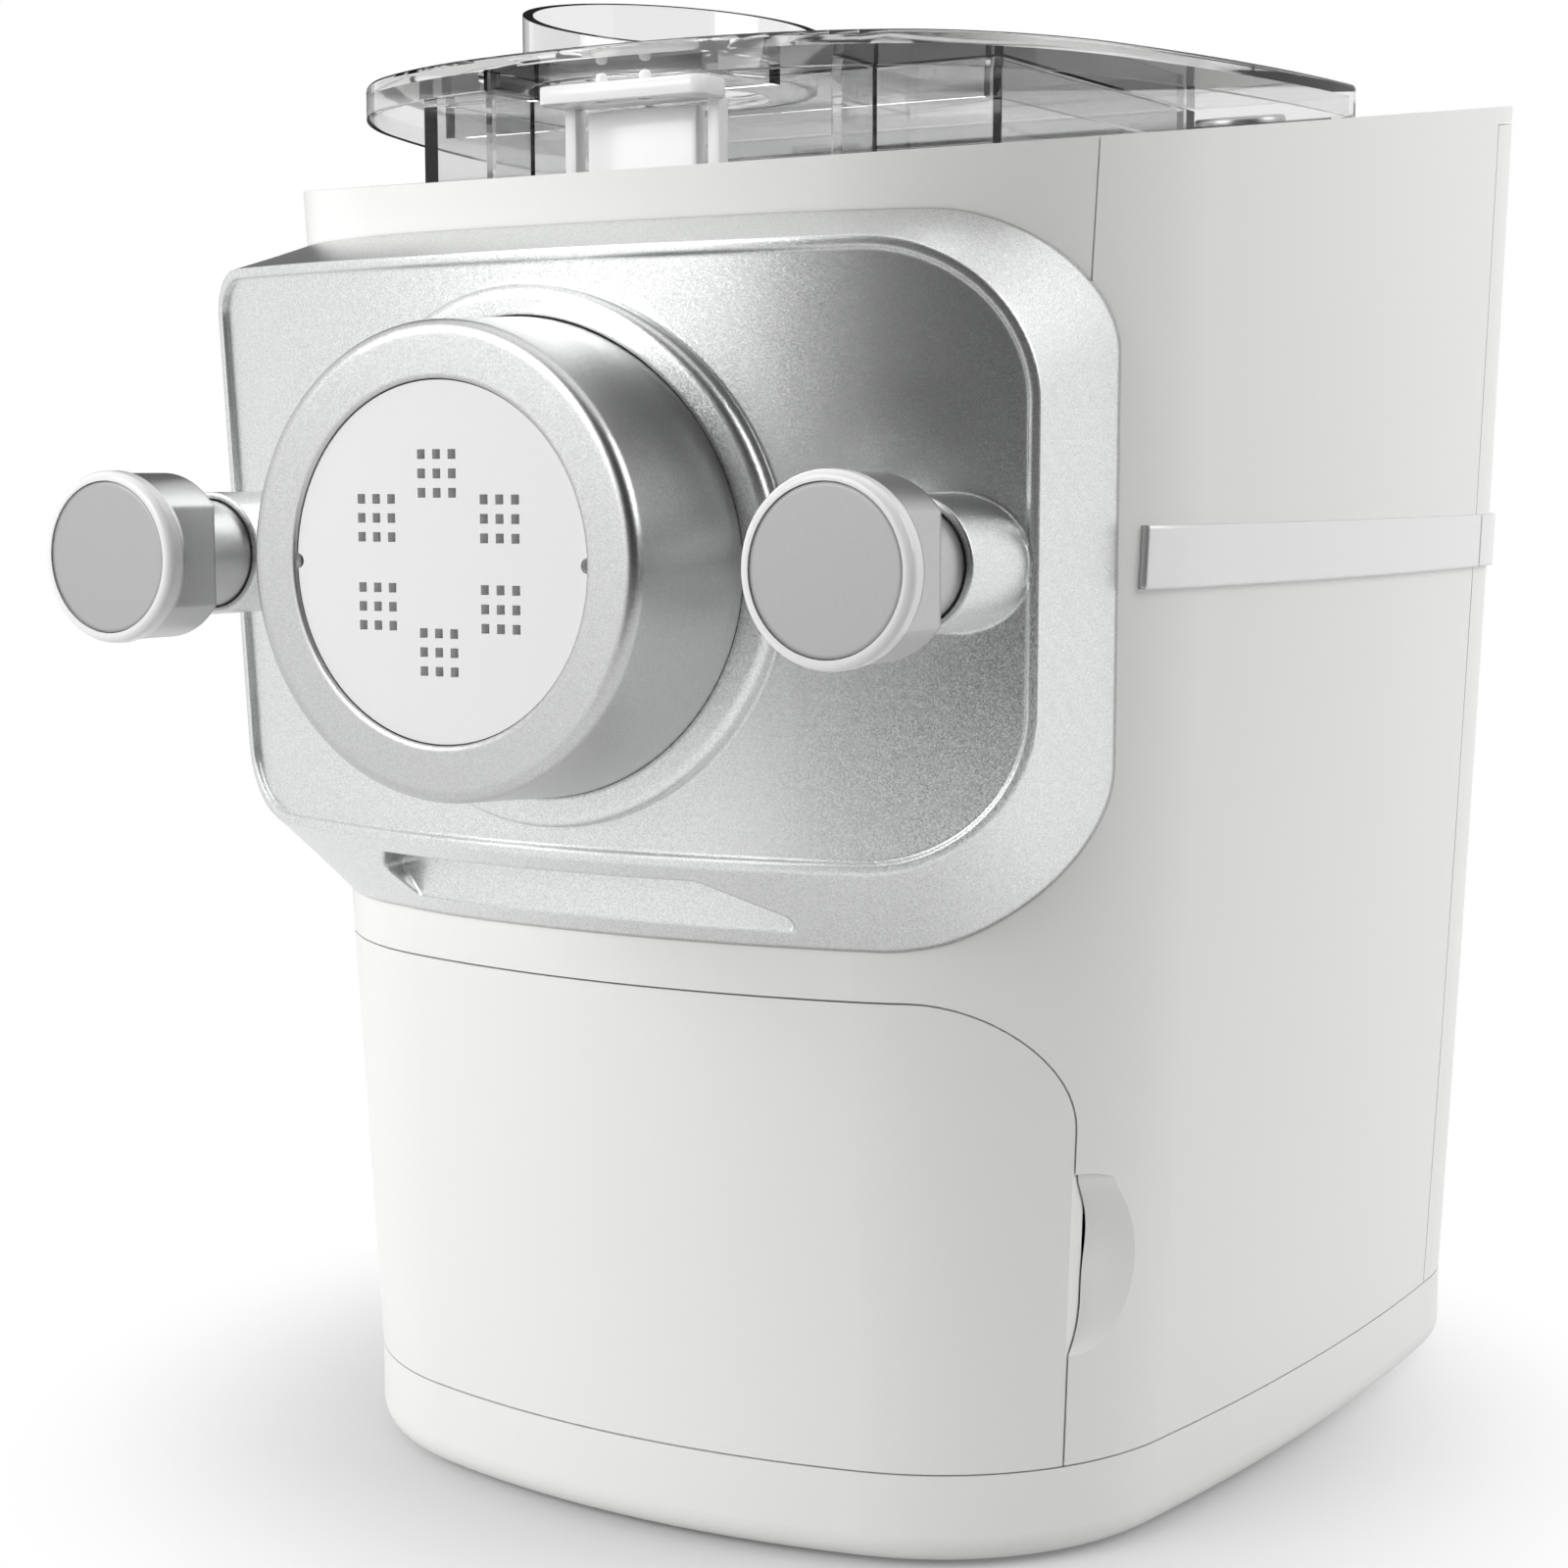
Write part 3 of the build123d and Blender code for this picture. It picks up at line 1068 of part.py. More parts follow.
# ================================================================ top deck and controls
def make_top_deck(inside):
    """White deck behind the lid, stepping down to a ledge round the chamber."""
    deck = (above_slant(-DECK_DROP - DECK_THICKNESS) - above_slant(-DECK_DROP)) & block(
        -FAR, FAR, DECK_FRONT, FAR, 0, FAR)
    ledge = block(-FAR, FAR, 40, DECK_FRONT + 3, LEDGE_Z, LEDGE_Z + 3)
    step_top = TOP_EDGE_Z + TOP_SLOPE * DECK_FRONT - DECK_DROP - 1
    step = block(-FAR, FAR, DECK_FRONT, DECK_FRONT + 3, LEDGE_Z, step_top)
    top = (deck + ledge + step) & inside
    clear = CHAMBER_HALF_WIDTH + 0.6
    top -= block(-clear, clear, CHAMBER_RIB_DEPTH - 1, CHAMBER_REAR + 0.6, 0, LEDGE_Z + 10)
    lock = LOCK_HALF_WIDTH + 2
    top -= block(-lock, lock, LOCK_BAR_FRONT - 2, CHAMBER_FRONT, 0, LEDGE_Z + 10)
    top -= on_deck(0, 0) * Box(CONTROL_WIDTH + 0.6, CONTROL_LENGTH + 0.6, 2 * (CONTROL_THICKNESS - 0.6))
    for x in BUTTON_PLACES.values():
        top -= on_deck(x, 0) * Cylinder(START_BUTTON_R + 0.6, 20)
    return top


def make_control_panel():
    thick = CONTROL_THICKNESS
    plate = Box(CONTROL_WIDTH, CONTROL_LENGTH, thick, align=(Align.CENTER, Align.CENTER, Align.MAX))
    plate = fillet(plate.edges().filter_by(Axis.Z), 6)
    plate = Pos(0, 0, 0.6) * plate
    plate -= Pos(-8, 0, 0.6) * Box(DISPLAY_WIDTH + 0.4, DISPLAY_LENGTH + 0.4, 2.4)
    for name, x in BUTTON_PLACES.items():
        plate -= Pos(x, 0, 0) * Cylinder(button_radius(name) + BUTTON_GAP, 10)
    return on_deck(0, 0) * plate


def button_radius(name):
    return START_BUTTON_R if name == "start_button" else BUTTON_R


def make_display():
    return on_deck(-8, 0) * Box(DISPLAY_WIDTH, DISPLAY_LENGTH, 1.2, align=(Align.CENTER, Align.CENTER, Align.MIN))


def make_button(name):
    """Round push button: dished cap and a stem down to its switch."""
    radius = button_radius(name)
    cap = Pos(0, 0, 0.6 + BUTTON_PROUD) * Cylinder(radius, 4.0, align=(Align.CENTER, Align.CENTER, Align.MAX))
    cap = fillet(cap.edges().group_by(Axis.Z)[-1], 0.8)
    stem = Cylinder(2.5, 8.0, align=(Align.CENTER, Align.CENTER, Align.MAX))
    return on_deck(BUTTON_PLACES[name], 0) * (cap + Pos(0, 0, -1) * stem)


def board_lift():
    """Deck-relative height of the control board's upper face."""
    return -9.0 - BUTTON_TRAVEL - SEAT_GAP - 2.0


def make_control_board():
    board = Pos(0, 0, board_lift()) * Box(CONTROL_WIDTH, 44, 1.6, align=(Align.CENTER, Align.CENTER, Align.MAX))
    for x in BUTTON_PLACES.values():
        board += Pos(x, 0, board_lift()) * Box(6, 6, 2.0, align=(Align.CENTER, Align.CENTER, Align.MIN))
    for x in (-30, 20):
        for y in (-20, 20):
            post = -DECK_THICKNESS - board_lift()
            board += Pos(x, y, board_lift()) * Cylinder(2.5, post, align=(Align.CENTER, Align.CENTER, Align.MIN))
    return on_deck(0, 0) * board


# ================================================================ rear fittings
def rear_wall_depth(x):
    return DEPTH - REAR_BOW_R + math.sqrt(REAR_BOW_R**2 - x**2)


def rear_screw_places():
    return [(side * REAR_SCREW_X, z) for z in REAR_SCREW_Z for side in (-1, 1)]


def base_screw_places():
    return [(side * 88.0, depth) for depth in (150.0, 240.0) for side in (-1, 1)]


def make_rear_screws():
    screws = []
    for x, z in rear_screw_places():
        face = rear_wall_depth(x) - 0.4
        screw = rod(SCREW_HEAD_R, face - SCREW_HEAD, face, x, z)
        screws.append(screw + rod(SCREW_R, face - SCREW_LENGTH, face, x, z))
    return Compound([screw.solid() for screw in screws])


def make_base_screws():
    screws = []
    seat_z = BASE_FLOOR_Z + SCREW_HEAD
    for x, depth in base_screw_places():
        head_height = SCREW_HEAD - 0.2
        head = Pos(x, y_at(depth), seat_z - head_height / 2) * Cylinder(SCREW_HEAD_R, head_height)
        shank = Pos(x, y_at(depth), seat_z + SCREW_LENGTH / 2 - 1) * Cylinder(SCREW_R, SCREW_LENGTH)
        screws.append(head + shank)
    return Compound([screw.solid() for screw in screws])


def socket_block(inset, depth_low, depth_high):
    half_width, half_height = SOCKET_WIDTH / 2 - inset, SOCKET_HEIGHT / 2 - inset
    return block(INLET_SOCKET_X - half_width, INLET_SOCKET_X + half_width, depth_low, depth_high,
                 INLET_SOCKET_Z - half_height, INLET_SOCKET_Z + half_height)


def make_mains_inlet():
    """Appliance inlet: a shroud with three flat pins in its recess."""
    face = rear_wall_depth(INLET_SOCKET_X) - 0.6
    inlet = socket_block(0.2, face - 22, face)
    inlet -= socket_block(2.2, face - 16, FAR)
    for x, z in ((-7, -3), (0, 3), (7, -3)):
        x, z = INLET_SOCKET_X + x, INLET_SOCKET_Z + z
        inlet += block(x - 1, x + 1, face - 20, face - 6, z - 2.4, z + 2.4)
    return inlet


# ================================================================ build
def build():
    body = tapered_body()
    inner = tapered_body(WALL)
    inside = tapered_body(WALL + SEAT_GAP)
    shell = body - inner - above_slant(0)
    ring = band_ring(body)
    angles = mesh_angles()
    axis_place = (0.0, AXIS_Z)
    nodes = {
        "main_housing": make_main_housing(shell, inner),
        "upper_front_cover": make_upper_front_cover(shell),
        "rear_cover": make_rear_cover(shell),
        "base_pan": make_base_pan(),
        "left_side_band": make_side_band(ring, -1),
        "right_side_band": make_side_band(ring, 1),
        "rear_band": make_rear_band(ring),
        "front_panel": make_front_panel(),
        "disc_ring": make_disc_ring(),
        "shaping_disc": make_disc(die_holes()),
        "chassis": make_chassis(inside),
        "gearbox_plate": make_gearbox_plate(),
        "output_gear": make_gear(OUTPUT_TEETH, angles["output_gear"], axis_place,
                                 OUTPUT_GEAR_DEPTH, GEAR_WIDTH, SHAFT_R),
        "lay_pinion": make_gear(LAY_PINION_TEETH, angles["lay_pinion"], lay_place(),
                                OUTPUT_GEAR_DEPTH, GEAR_WIDTH, LAY_SHAFT_R),
        "lay_gear": make_gear(LAY_GEAR_TEETH, angles["lay_gear"], lay_place(),
                              LAY_GEAR_DEPTH, LAY_GEAR_WIDTH, LAY_SHAFT_R),
        "motor_pinion": make_gear(MOTOR_PINION_TEETH, angles["motor_pinion"], motor_place(),
                                  LAY_GEAR_DEPTH, LAY_GEAR_WIDTH, MOTOR_SHAFT_R),
        "drive_shaft": make_drive_shaft(),
        "lay_shaft": make_lay_shaft(),
        "shaft_bearings": make_bearings(),
        "knob_nuts": make_knob_nuts(),
        "rubber_feet": make_feet(),
        "motor": make_motor(),
        "motor_shaft": make_motor_shaft(),
        "cooling_fan": make_fan(),
        "mixing_chamber": make_chamber(),
        "shaft_seal": make_shaft_seal(),
        "extrusion_tube": make_extrusion_tube(),
        "tube_seal": make_tube_seal(),
        "auger": make_auger(),
        "mixing_paddle": make_paddle(),
        "lid": make_lid(),
        "lock_frame": make_lock_frame(),
        "lock_plate": make_lock_plate(),
        "lock_pins": make_lock_pins(),
        "lock_switch": make_lock_switch(),
        "drawer_front": make_drawer_front(shell),
        "drawer_tray": make_drawer_tray(inner),
        "top_deck": make_top_deck(inside),
        "control_panel": make_control_panel(),
        "display": make_display(),
        "control_board": make_control_board(),
        "rear_screws": make_rear_screws(),
        "base_screws": make_base_screws(),
        "mains_inlet": make_mains_inlet(),
    }
    for name in BUTTON_PLACES:
        nodes[name] = make_button(name)
    for index, kind in enumerate(("round", "slot", "sheet")):
        nodes[f"spare_disc_{kind}"] = make_spare_disc(index)
    for side, hand in ((-1, "left"), (1, "right")):
        nodes[f"{hand}_knob_grip"] = make_knob_grip(side)
        nodes[f"{hand}_knob_rim"] = make_knob_rim(side)
        nodes[f"{hand}_knob_face"] = make_knob_face(side)
        nodes[f"{hand}_knob_screw"] = make_knob_screw(side)
    return nodes


os.makedirs("parts", exist_ok=True)
for node_name, solid in build().items():
    export_step(solid, f"parts/{node_name}.step")
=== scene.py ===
# %% [markdown]
# # An electric pasta maker
#
# The machine comes in as a finished frame: every rigid piece is already there, in metres, with its
# place in its mesh. This lesson gives each piece the finish of the real thing, adds the few pieces
# that belong to looks and not to mechanics, and sets up a plain studio around it.

import json
import math

import bmesh
import bpy
from mathutils import Matrix, Vector


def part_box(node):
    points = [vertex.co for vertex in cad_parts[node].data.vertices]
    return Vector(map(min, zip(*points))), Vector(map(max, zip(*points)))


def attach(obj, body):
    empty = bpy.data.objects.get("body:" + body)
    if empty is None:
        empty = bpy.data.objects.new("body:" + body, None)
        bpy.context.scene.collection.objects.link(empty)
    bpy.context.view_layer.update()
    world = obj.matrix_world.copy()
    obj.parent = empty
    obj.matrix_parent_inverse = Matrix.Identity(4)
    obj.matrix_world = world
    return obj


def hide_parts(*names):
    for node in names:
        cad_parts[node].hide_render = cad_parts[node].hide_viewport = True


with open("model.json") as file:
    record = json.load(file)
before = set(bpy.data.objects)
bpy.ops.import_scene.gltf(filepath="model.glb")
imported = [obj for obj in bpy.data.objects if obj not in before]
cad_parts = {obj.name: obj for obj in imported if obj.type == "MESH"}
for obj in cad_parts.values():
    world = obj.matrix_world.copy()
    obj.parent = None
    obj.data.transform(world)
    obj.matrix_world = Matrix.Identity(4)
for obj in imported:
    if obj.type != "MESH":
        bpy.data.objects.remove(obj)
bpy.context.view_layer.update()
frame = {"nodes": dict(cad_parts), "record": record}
MM = 0.001
print("pieces loaded:", len(frame["nodes"]))

# %% [markdown]
# ## Where things are
#
# Dough leaves the machine along one axis, and the whole front is built round it. The box of the
# loaded shaping disc gives its height, so nothing has to be typed in twice.

# %% Extrusion axis
disc_low, disc_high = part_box("shaping_disc")
AXIS_Z = (disc_low[2] + disc_high[2]) / 2
print("extrusion axis:", round(AXIS_Z / MM, 1), "mm above the table")

# %% [markdown]
# ## Camera
#
# A product camera stands a little to the right of the machine and a little above its middle, with a
# rather long lens, so the front dominates and the side still shows. A lens is a length in
# millimetres for a 36 mm wide sensor; the camera looks along its own -Z, so a tilt of 90 degrees
# about X is level.

# %% Camera
CAMERA_PLACE = (0.3202, -0.5591, 0.2207)
CAMERA_TURN = 31.05
CAMERA_TILT = 90 - 6.41
CAMERA_ROLL = 0.12
LENS = 63.85
SENSOR_WIDTH = 36

camera_data = bpy.data.cameras.new("product camera")
camera_data.lens = LENS
camera_data.sensor_width = SENSOR_WIDTH
camera = bpy.data.objects.new("product camera", camera_data)
camera.location = CAMERA_PLACE
camera.rotation_euler = [math.radians(angle) for angle in (CAMERA_TILT, CAMERA_ROLL, CAMERA_TURN)]
bpy.context.scene.collection.objects.link(camera)
bpy.context.scene.camera = camera
print("camera:", round(math.dist(CAMERA_PLACE, (0, 0, AXIS_Z)), 3), "m from the extrusion axis")

# %% [markdown]
# ## Shared effects
#
# Several finishes use the same small effects, so each effect is a node group with named inputs and
# outputs. A group only puts out colours, masks, values and normals. The shader stays in the
# material.

# %% A helper that makes an empty node group


def new_group(name, inputs, outputs):
    """Node group with (name, type, default) inputs and (name, type) outputs."""
    group = bpy.data.node_groups.new(name, "ShaderNodeTree")
    for label, kind, default in inputs:
        socket = group.interface.new_socket(label, in_out="INPUT", socket_type=kind)
        socket.default_value = default
    for label, kind in outputs:
        group.interface.new_socket(label, in_out="OUTPUT", socket_type=kind)
    return group, group.nodes.new("NodeGroupInput"), group.nodes.new("NodeGroupOutput")


# %% [markdown]
# **Mould grain.** An injection mould is spark-eroded, which leaves a very fine, even pebble on the
# plastic. Noise with grains of about a third of a millimetre does that: it lifts the surface a few
# hundredths of a millimetre and makes it a little rougher where it is high. A much larger, weaker
# noise gives the faint tone change that a big moulding has.

# %% Mould grain group
PEBBLE_SCALE = 2600.0
PEBBLE_DETAIL = 2.0
PEBBLE_SHINE = 0.06
TONE_SCALE = 9.0
TONE_RANGE = (0.985, 1.015)

mould_grain, grain_in, grain_out = new_group(
    "mould grain",
    [("Colour", "NodeSocketColor", (0.9, 0.9, 0.9, 1)),
     ("Scale", "NodeSocketFloat", PEBBLE_SCALE),
     ("Roughness", "NodeSocketFloat", 0.4)],
    [("Colour", "NodeSocketColor"), ("Roughness", "NodeSocketFloat"),
     ("Height", "NodeSocketFloat")],
)


def build_mould_grain(group, source, sink):
    nodes, link = group.nodes, group.links.new
    place = nodes.new("ShaderNodeTexCoord")
    pebble = nodes.new("ShaderNodeTexNoise")
    pebble.inputs["Detail"].default_value = PEBBLE_DETAIL
    link(place.outputs["Object"], pebble.inputs["Vector"])
    link(source.outputs["Scale"], pebble.inputs["Scale"])
    clouds = nodes.new("ShaderNodeTexNoise")
    clouds.inputs["Scale"].default_value = TONE_SCALE
    link(place.outputs["Object"], clouds.inputs["Vector"])
    tone = nodes.new("ShaderNodeMapRange")
    tone.inputs["To Min"].default_value, tone.inputs["To Max"].default_value = TONE_RANGE
    link(clouds.outputs["Fac"], tone.inputs["Value"])
    tinted = nodes.new("ShaderNodeVectorMath")
    tinted.operation = "SCALE"
    link(source.outputs["Colour"], tinted.inputs[0])
    link(tone.outputs["Result"], tinted.inputs["Scale"])
    shine = nodes.new("ShaderNodeMath")
    shine.operation = "MULTIPLY_ADD"
    shine.inputs[1].default_value = PEBBLE_SHINE
    link(pebble.outputs["Fac"], shine.inputs[0])
    link(source.outputs["Roughness"], shine.inputs[2])
    link(tinted.outputs["Vector"], sink.inputs["Colour"])
    link(shine.outputs["Value"], sink.inputs["Roughness"])
    link(pebble.outputs["Fac"], sink.inputs["Height"])


build_mould_grain(mould_grain, grain_in, grain_out)
print("mould grain:", len(mould_grain.nodes), "nodes")

# %% [markdown]
# **Metal flake.** The silver paint is clear lacquer full of aluminium flakes. Each flake is a cell
# of a Voronoi pattern about a fifth of a millimetre wide, and its random colour serves twice: as a
# small brightness change, and as a small tilt of the surface, which makes the paint sparkle.
# Lacquer also pools over an edge and rounds it. The Bevel node bends the normals near an edge in
# the same way, so the crest of the front panel catches a soft line of light with no extra faces.

# %% Metal flake group
FLAKE_SCALE = 5000.0
FLAKE_MIDDLE = (0.5, 0.5, 0.5)
SOFT_EDGE = 1.2 * MM
SOFT_EDGE_SAMPLES = 6

metal_flake, flake_in, flake_out = new_group(
    "metal flake",
    [("Colour", "NodeSocketColor", (0.6, 0.62, 0.62, 1)),
     ("Scale", "NodeSocketFloat", FLAKE_SCALE),
     ("Contrast", "NodeSocketFloat", 0.25),
     ("Tilt", "NodeSocketFloat", 0.12)],
    [("Colour", "NodeSocketColor"), ("Normal", "NodeSocketVector")],
)


def build_metal_flake(group, source, sink):
    nodes, link = group.nodes, group.links.new
    place = nodes.new("ShaderNodeTexCoord")
    flakes = nodes.new("ShaderNodeTexVoronoi")
    link(place.outputs["Object"], flakes.inputs["Vector"])
    link(source.outputs["Scale"], flakes.inputs["Scale"])
    centred = nodes.new("ShaderNodeVectorMath")
    centred.operation = "SUBTRACT"
    centred.inputs[1].default_value = FLAKE_MIDDLE
    link(flakes.outputs["Color"], centred.inputs[0])
    tilt = nodes.new("ShaderNodeVectorMath")
    tilt.operation = "SCALE"
    link(centred.outputs["Vector"], tilt.inputs[0])
    link(source.outputs["Tilt"], tilt.inputs["Scale"])
    surface = nodes.new("ShaderNodeBevel")
    surface.samples = SOFT_EDGE_SAMPLES
    surface.inputs["Radius"].default_value = SOFT_EDGE
    tilted = nodes.new("ShaderNodeVectorMath")
    link(surface.outputs["Normal"], tilted.inputs[0])
    link(tilt.outputs["Vector"], tilted.inputs[1])
    unit = nodes.new("ShaderNodeVectorMath")
    unit.operation = "NORMALIZE"
    link(tilted.outputs["Vector"], unit.inputs[0])
    level = nodes.new("ShaderNodeSeparateXYZ")
    link(centred.outputs["Vector"], level.inputs["Vector"])
    gain = nodes.new("ShaderNodeMath")
    gain.operation = "MULTIPLY_ADD"
    gain.inputs[2].default_value = 1.0
    link(level.outputs["X"], gain.inputs[0])
    link(source.outputs["Contrast"], gain.inputs[1])
    tinted = nodes.new("ShaderNodeVectorMath")
    tinted.operation = "SCALE"
    link(source.outputs["Colour"], tinted.inputs[0])
    link(gain.outputs["Value"], tinted.inputs["Scale"])
    link(tinted.outputs["Vector"], sink.inputs["Colour"])
    link(unit.outputs["Vector"], sink.inputs["Normal"])


build_metal_flake(metal_flake, flake_in, flake_out)
print("metal flake:", len(metal_flake.nodes), "nodes")

# %% [markdown]
# **Turning marks.** Machined steel carries fine lines. Noise that is stretched along one direction
# gives them, as a roughness change and a height.

# %% Turning marks group
MARK_SCALE = 900.0
MARK_STRETCH = (0.06, 1.0, 0.06)
MARK_DETAIL = 3.0
MARK_SHINE = 0.15

turning_marks, marks_in, marks_out = new_group(
    "turning marks",
    [("Scale", "NodeSocketFloat", MARK_SCALE), ("Roughness", "NodeSocketFloat", 0.3)],
    [("Roughness", "NodeSocketFloat"), ("Height", "NodeSocketFloat")],
)


def build_turning_marks(group, source, sink):
    nodes, link = group.nodes, group.links.new
    place = nodes.new("ShaderNodeTexCoord")
    stretch = nodes.new("ShaderNodeMapping")
    stretch.inputs["Scale"].default_value = MARK_STRETCH
    link(place.outputs["Object"], stretch.inputs["Vector"])
    lines = nodes.new("ShaderNodeTexNoise")
    lines.inputs["Detail"].default_value = MARK_DETAIL
    link(stretch.outputs["Vector"], lines.inputs["Vector"])
    link(source.outputs["Scale"], lines.inputs["Scale"])
    shine = nodes.new("ShaderNodeMath")
    shine.operation = "MULTIPLY_ADD"
    shine.inputs[1].default_value = MARK_SHINE
    link(lines.outputs["Fac"], shine.inputs[0])
    link(source.outputs["Roughness"], shine.inputs[2])
    link(shine.outputs["Value"], sink.inputs["Roughness"])
    link(lines.outputs["Fac"], sink.inputs["Height"])


build_turning_marks(turning_marks, marks_in, marks_out)
print("turning marks:", len(turning_marks.nodes), "nodes")

# %% [markdown]
# ## Finishes
#
# Each finish is one material. `new_finish` makes a Principled shader and returns it with its
# material, and a few makers below wire the shared groups into it.

# %% Material helpers


def new_finish(name, **sockets):
    """Material with a Principled shader; keyword names are socket names with underscores."""
    material = bpy.data.materials.new(name)
    material.use_nodes = True
    shader = material.node_tree.nodes["Principled BSDF"]
    for label, value in sockets.items():
        shader.inputs[label.replace("_", " ")].default_value = value
    return material, shader


def add_group(material, group, **values):
    node = material.node_tree.nodes.new("ShaderNodeGroup")
    node.node_tree = group
    for label, value in values.items():
        node.inputs[label].default_value = value
    return node


def add_bump(material, shader, height, strength, distance):
    bump = material.node_tree.nodes.new("ShaderNodeBump")
    bump.inputs["Strength"].default_value = strength
    bump.inputs["Distance"].default_value = distance
    material.node_tree.links.new(height, bump.inputs["Height"])
    material.node_tree.links.new(bump.outputs["Normal"], shader.inputs["Normal"])


def grey(level, cool=0.0):
    """Neutral colour; cool tips it slightly to blue."""
    return (level * (1 - cool), level, level * (1 + cool), 1)


# %% [markdown]
# **Plastics.** Most of the machine is moulded: the satin white body, the glossier lock and disc,
# the grey chassis, the gears. They differ only in colour, gloss and depth of grain, so one maker
# serves them all. Rubber is the same maker with a coarser, deeper grain.

# %% Moulded plastics
GRAIN_DEPTH = 0.04 * MM
WARM_WHITE = (0.88, 0.88, 0.865, 1)


def moulded(name, colour, roughness, scale=PEBBLE_SCALE, bump=0.12):
    """Plastic with mould grain."""
    material, shader = new_finish(name)
    grain = add_group(material, mould_grain, Colour=colour, Scale=scale, Roughness=roughness)
    link = material.node_tree.links.new
    link(grain.outputs["Colour"], shader.inputs["Base Color"])
    link(grain.outputs["Roughness"], shader.inputs["Roughness"])
    add_bump(material, shader, grain.outputs["Height"], bump, GRAIN_DEPTH)
    return material


finishes = {
    "white_body": moulded("satin white body", WARM_WHITE, 0.36),
    "white_gloss": moulded("glossy white", grey(0.88), 0.12, bump=0.03),
    "white_disc": moulded("white disc", grey(0.86), 0.26, bump=0.06),
    "dough_plastic": moulded("light grey auger", grey(0.74), 0.3),
    "frame_plastic": moulded("grey chassis", grey(0.45), 0.5),
    "gear_plastic": moulded("natural acetal", (0.80, 0.78, 0.70, 1), 0.35),
    "black_plastic": moulded("matt black", grey(0.03), 0.45),
    "grey_rubber": moulded("grey rubber", grey(0.22), 0.7, scale=1400.0, bump=0.25),
    "board_green": moulded("circuit board", (0.03, 0.16, 0.07, 1), 0.3),
    "panel_black": moulded("dark control panel", grey(0.035), 0.14, bump=0.02),
    "display_glass": moulded("smoked window", grey(0.012), 0.06, bump=0.01),
}
print("plastics:", len(finishes))

# %% [markdown]
# ** Silver paints.** The front panel is the brightest silver. The knobs are darker and sparkle less,
# and the band round the body is so pale that it is nearly white. The ring round the disc gets a
# darker copy of the panel's silver that sparkles less. Its darker grey is painted shade, for the
# shade on the ring's barrel. Metallic goes down from the panel to the band, because less and less
# of what shows is metal.

# %% Silver paints
SILVER = (0.73, 0.742, 0.737, 1)


def flaked(name, colour, roughness, contrast, tilt, metallic):
    """Silver lacquer with metal flake."""
    material, shader = new_finish(name, Roughness=roughness, Metallic=metallic)
    flake = add_group(material, metal_flake, Colour=colour, Contrast=contrast, Tilt=tilt)
    link = material.node_tree.links.new
    link(flake.outputs["Colour"], shader.inputs["Base Color"])
    link(flake.outputs["Normal"], shader.inputs["Normal"])
    return material


silver_paints = {
    "silver_paint": flaked("silver lacquer", SILVER, 0.33, 0.36, 0.09, metallic=1.0),
    # Darker copy of the panel's silver for the ring: its darker grey is painted shade on the
    # barrel.
    "painted_shade_ring_silver": flaked("ring silver with painted shade", grey(0.53, 0.005), 0.33, 0.2, 0.05, metallic=1.0),
    "knob_silver": flaked("knob silver", grey(0.5), 0.32, 0.1, 0.04, metallic=0.85),
    "knob_face": flaked("knob face", grey(0.42), 0.5, 0.06, 0.02, metallic=0.5),
    "silver_band": flaked("silver band", grey(0.82), 0.25, 0.02, 0.01, metallic=0.4),
}
finishes.update(silver_paints)
print("silver paints:", len(silver_paints))

# %% [markdown]
# **Bare metals.** Screws, nuts, shafts and the motor can are hidden in use, but some of them show
# when the panel or the drawer is out. They are plain metal with turning marks.

# %% Bare metals
MARK_STRENGTH = 0.15
MARK_DEPTH = 0.03 * MM


def machined(name, colour, roughness):
    """Metal with turning marks."""
    material, shader = new_finish(name, Base_Color=colour, Metallic=1.0)
    marks = add_group(material, turning_marks, Roughness=roughness)
    material.node_tree.links.new(marks.outputs["Roughness"], shader.inputs["Roughness"])
    add_bump(material, shader, marks.outputs["Height"], MARK_STRENGTH, MARK_DEPTH)
    return material


bare_metals = {
    "steel": machined("machined steel", grey(0.62), 0.25),
    "motor_steel": machined("zinc plated can", grey(0.5), 0.35),
    "brass": machined("machined brass", (0.72, 0.5, 0.22, 1), 0.22),
}
finishes.update(bare_metals)
print("bare metals:", len(bare_metals))

# %% [markdown]
# **Clear plastic.** The lid and the chamber are clear mouldings, so they bend the light that goes
# through them. Bent light would leave a black shadow without a very slow render. For shadow rays
# the material is therefore plain transparent, and lets nine tenths of the light through.

# %% Clear plastic
CLEAR_IOR = 1.45
CLEAR_GRAIN_SCALE = 300.0
SHADOW_PASS = grey(0.9)


def clear(name, colour, roughness):
    """Clear moulded plastic, with a trace of mould grain in its gloss."""
    material, shader = new_finish(name, IOR=CLEAR_IOR, Transmission_Weight=1.0)
    grain = add_group(material, mould_grain, Colour=colour, Scale=CLEAR_GRAIN_SCALE,
                      Roughness=roughness)
    nodes, link = material.node_tree.nodes, material.node_tree.links.new
    link(grain.outputs["Colour"], shader.inputs["Base Color"])
    link(grain.outputs["Roughness"], shader.inputs["Roughness"])
    path = nodes.new("ShaderNodeLightPath")
    thin = nodes.new("ShaderNodeBsdfTransparent")
    thin.inputs["Color"].default_value = SHADOW_PASS
    mix = nodes.new("ShaderNodeMixShader")
    link(path.outputs["Is Shadow Ray"], mix.inputs["Fac"])
    link(shader.outputs["BSDF"], mix.inputs[1])
    link(thin.outputs["BSDF"], mix.inputs[2])
    link(mix.outputs["Shader"], nodes["Material Output"].inputs["Surface"])
    return material


finishes["clear_plastic"] = clear("clear plastic", grey(0.84, 0.002), 0.0)
print("all finishes:", len(finishes))
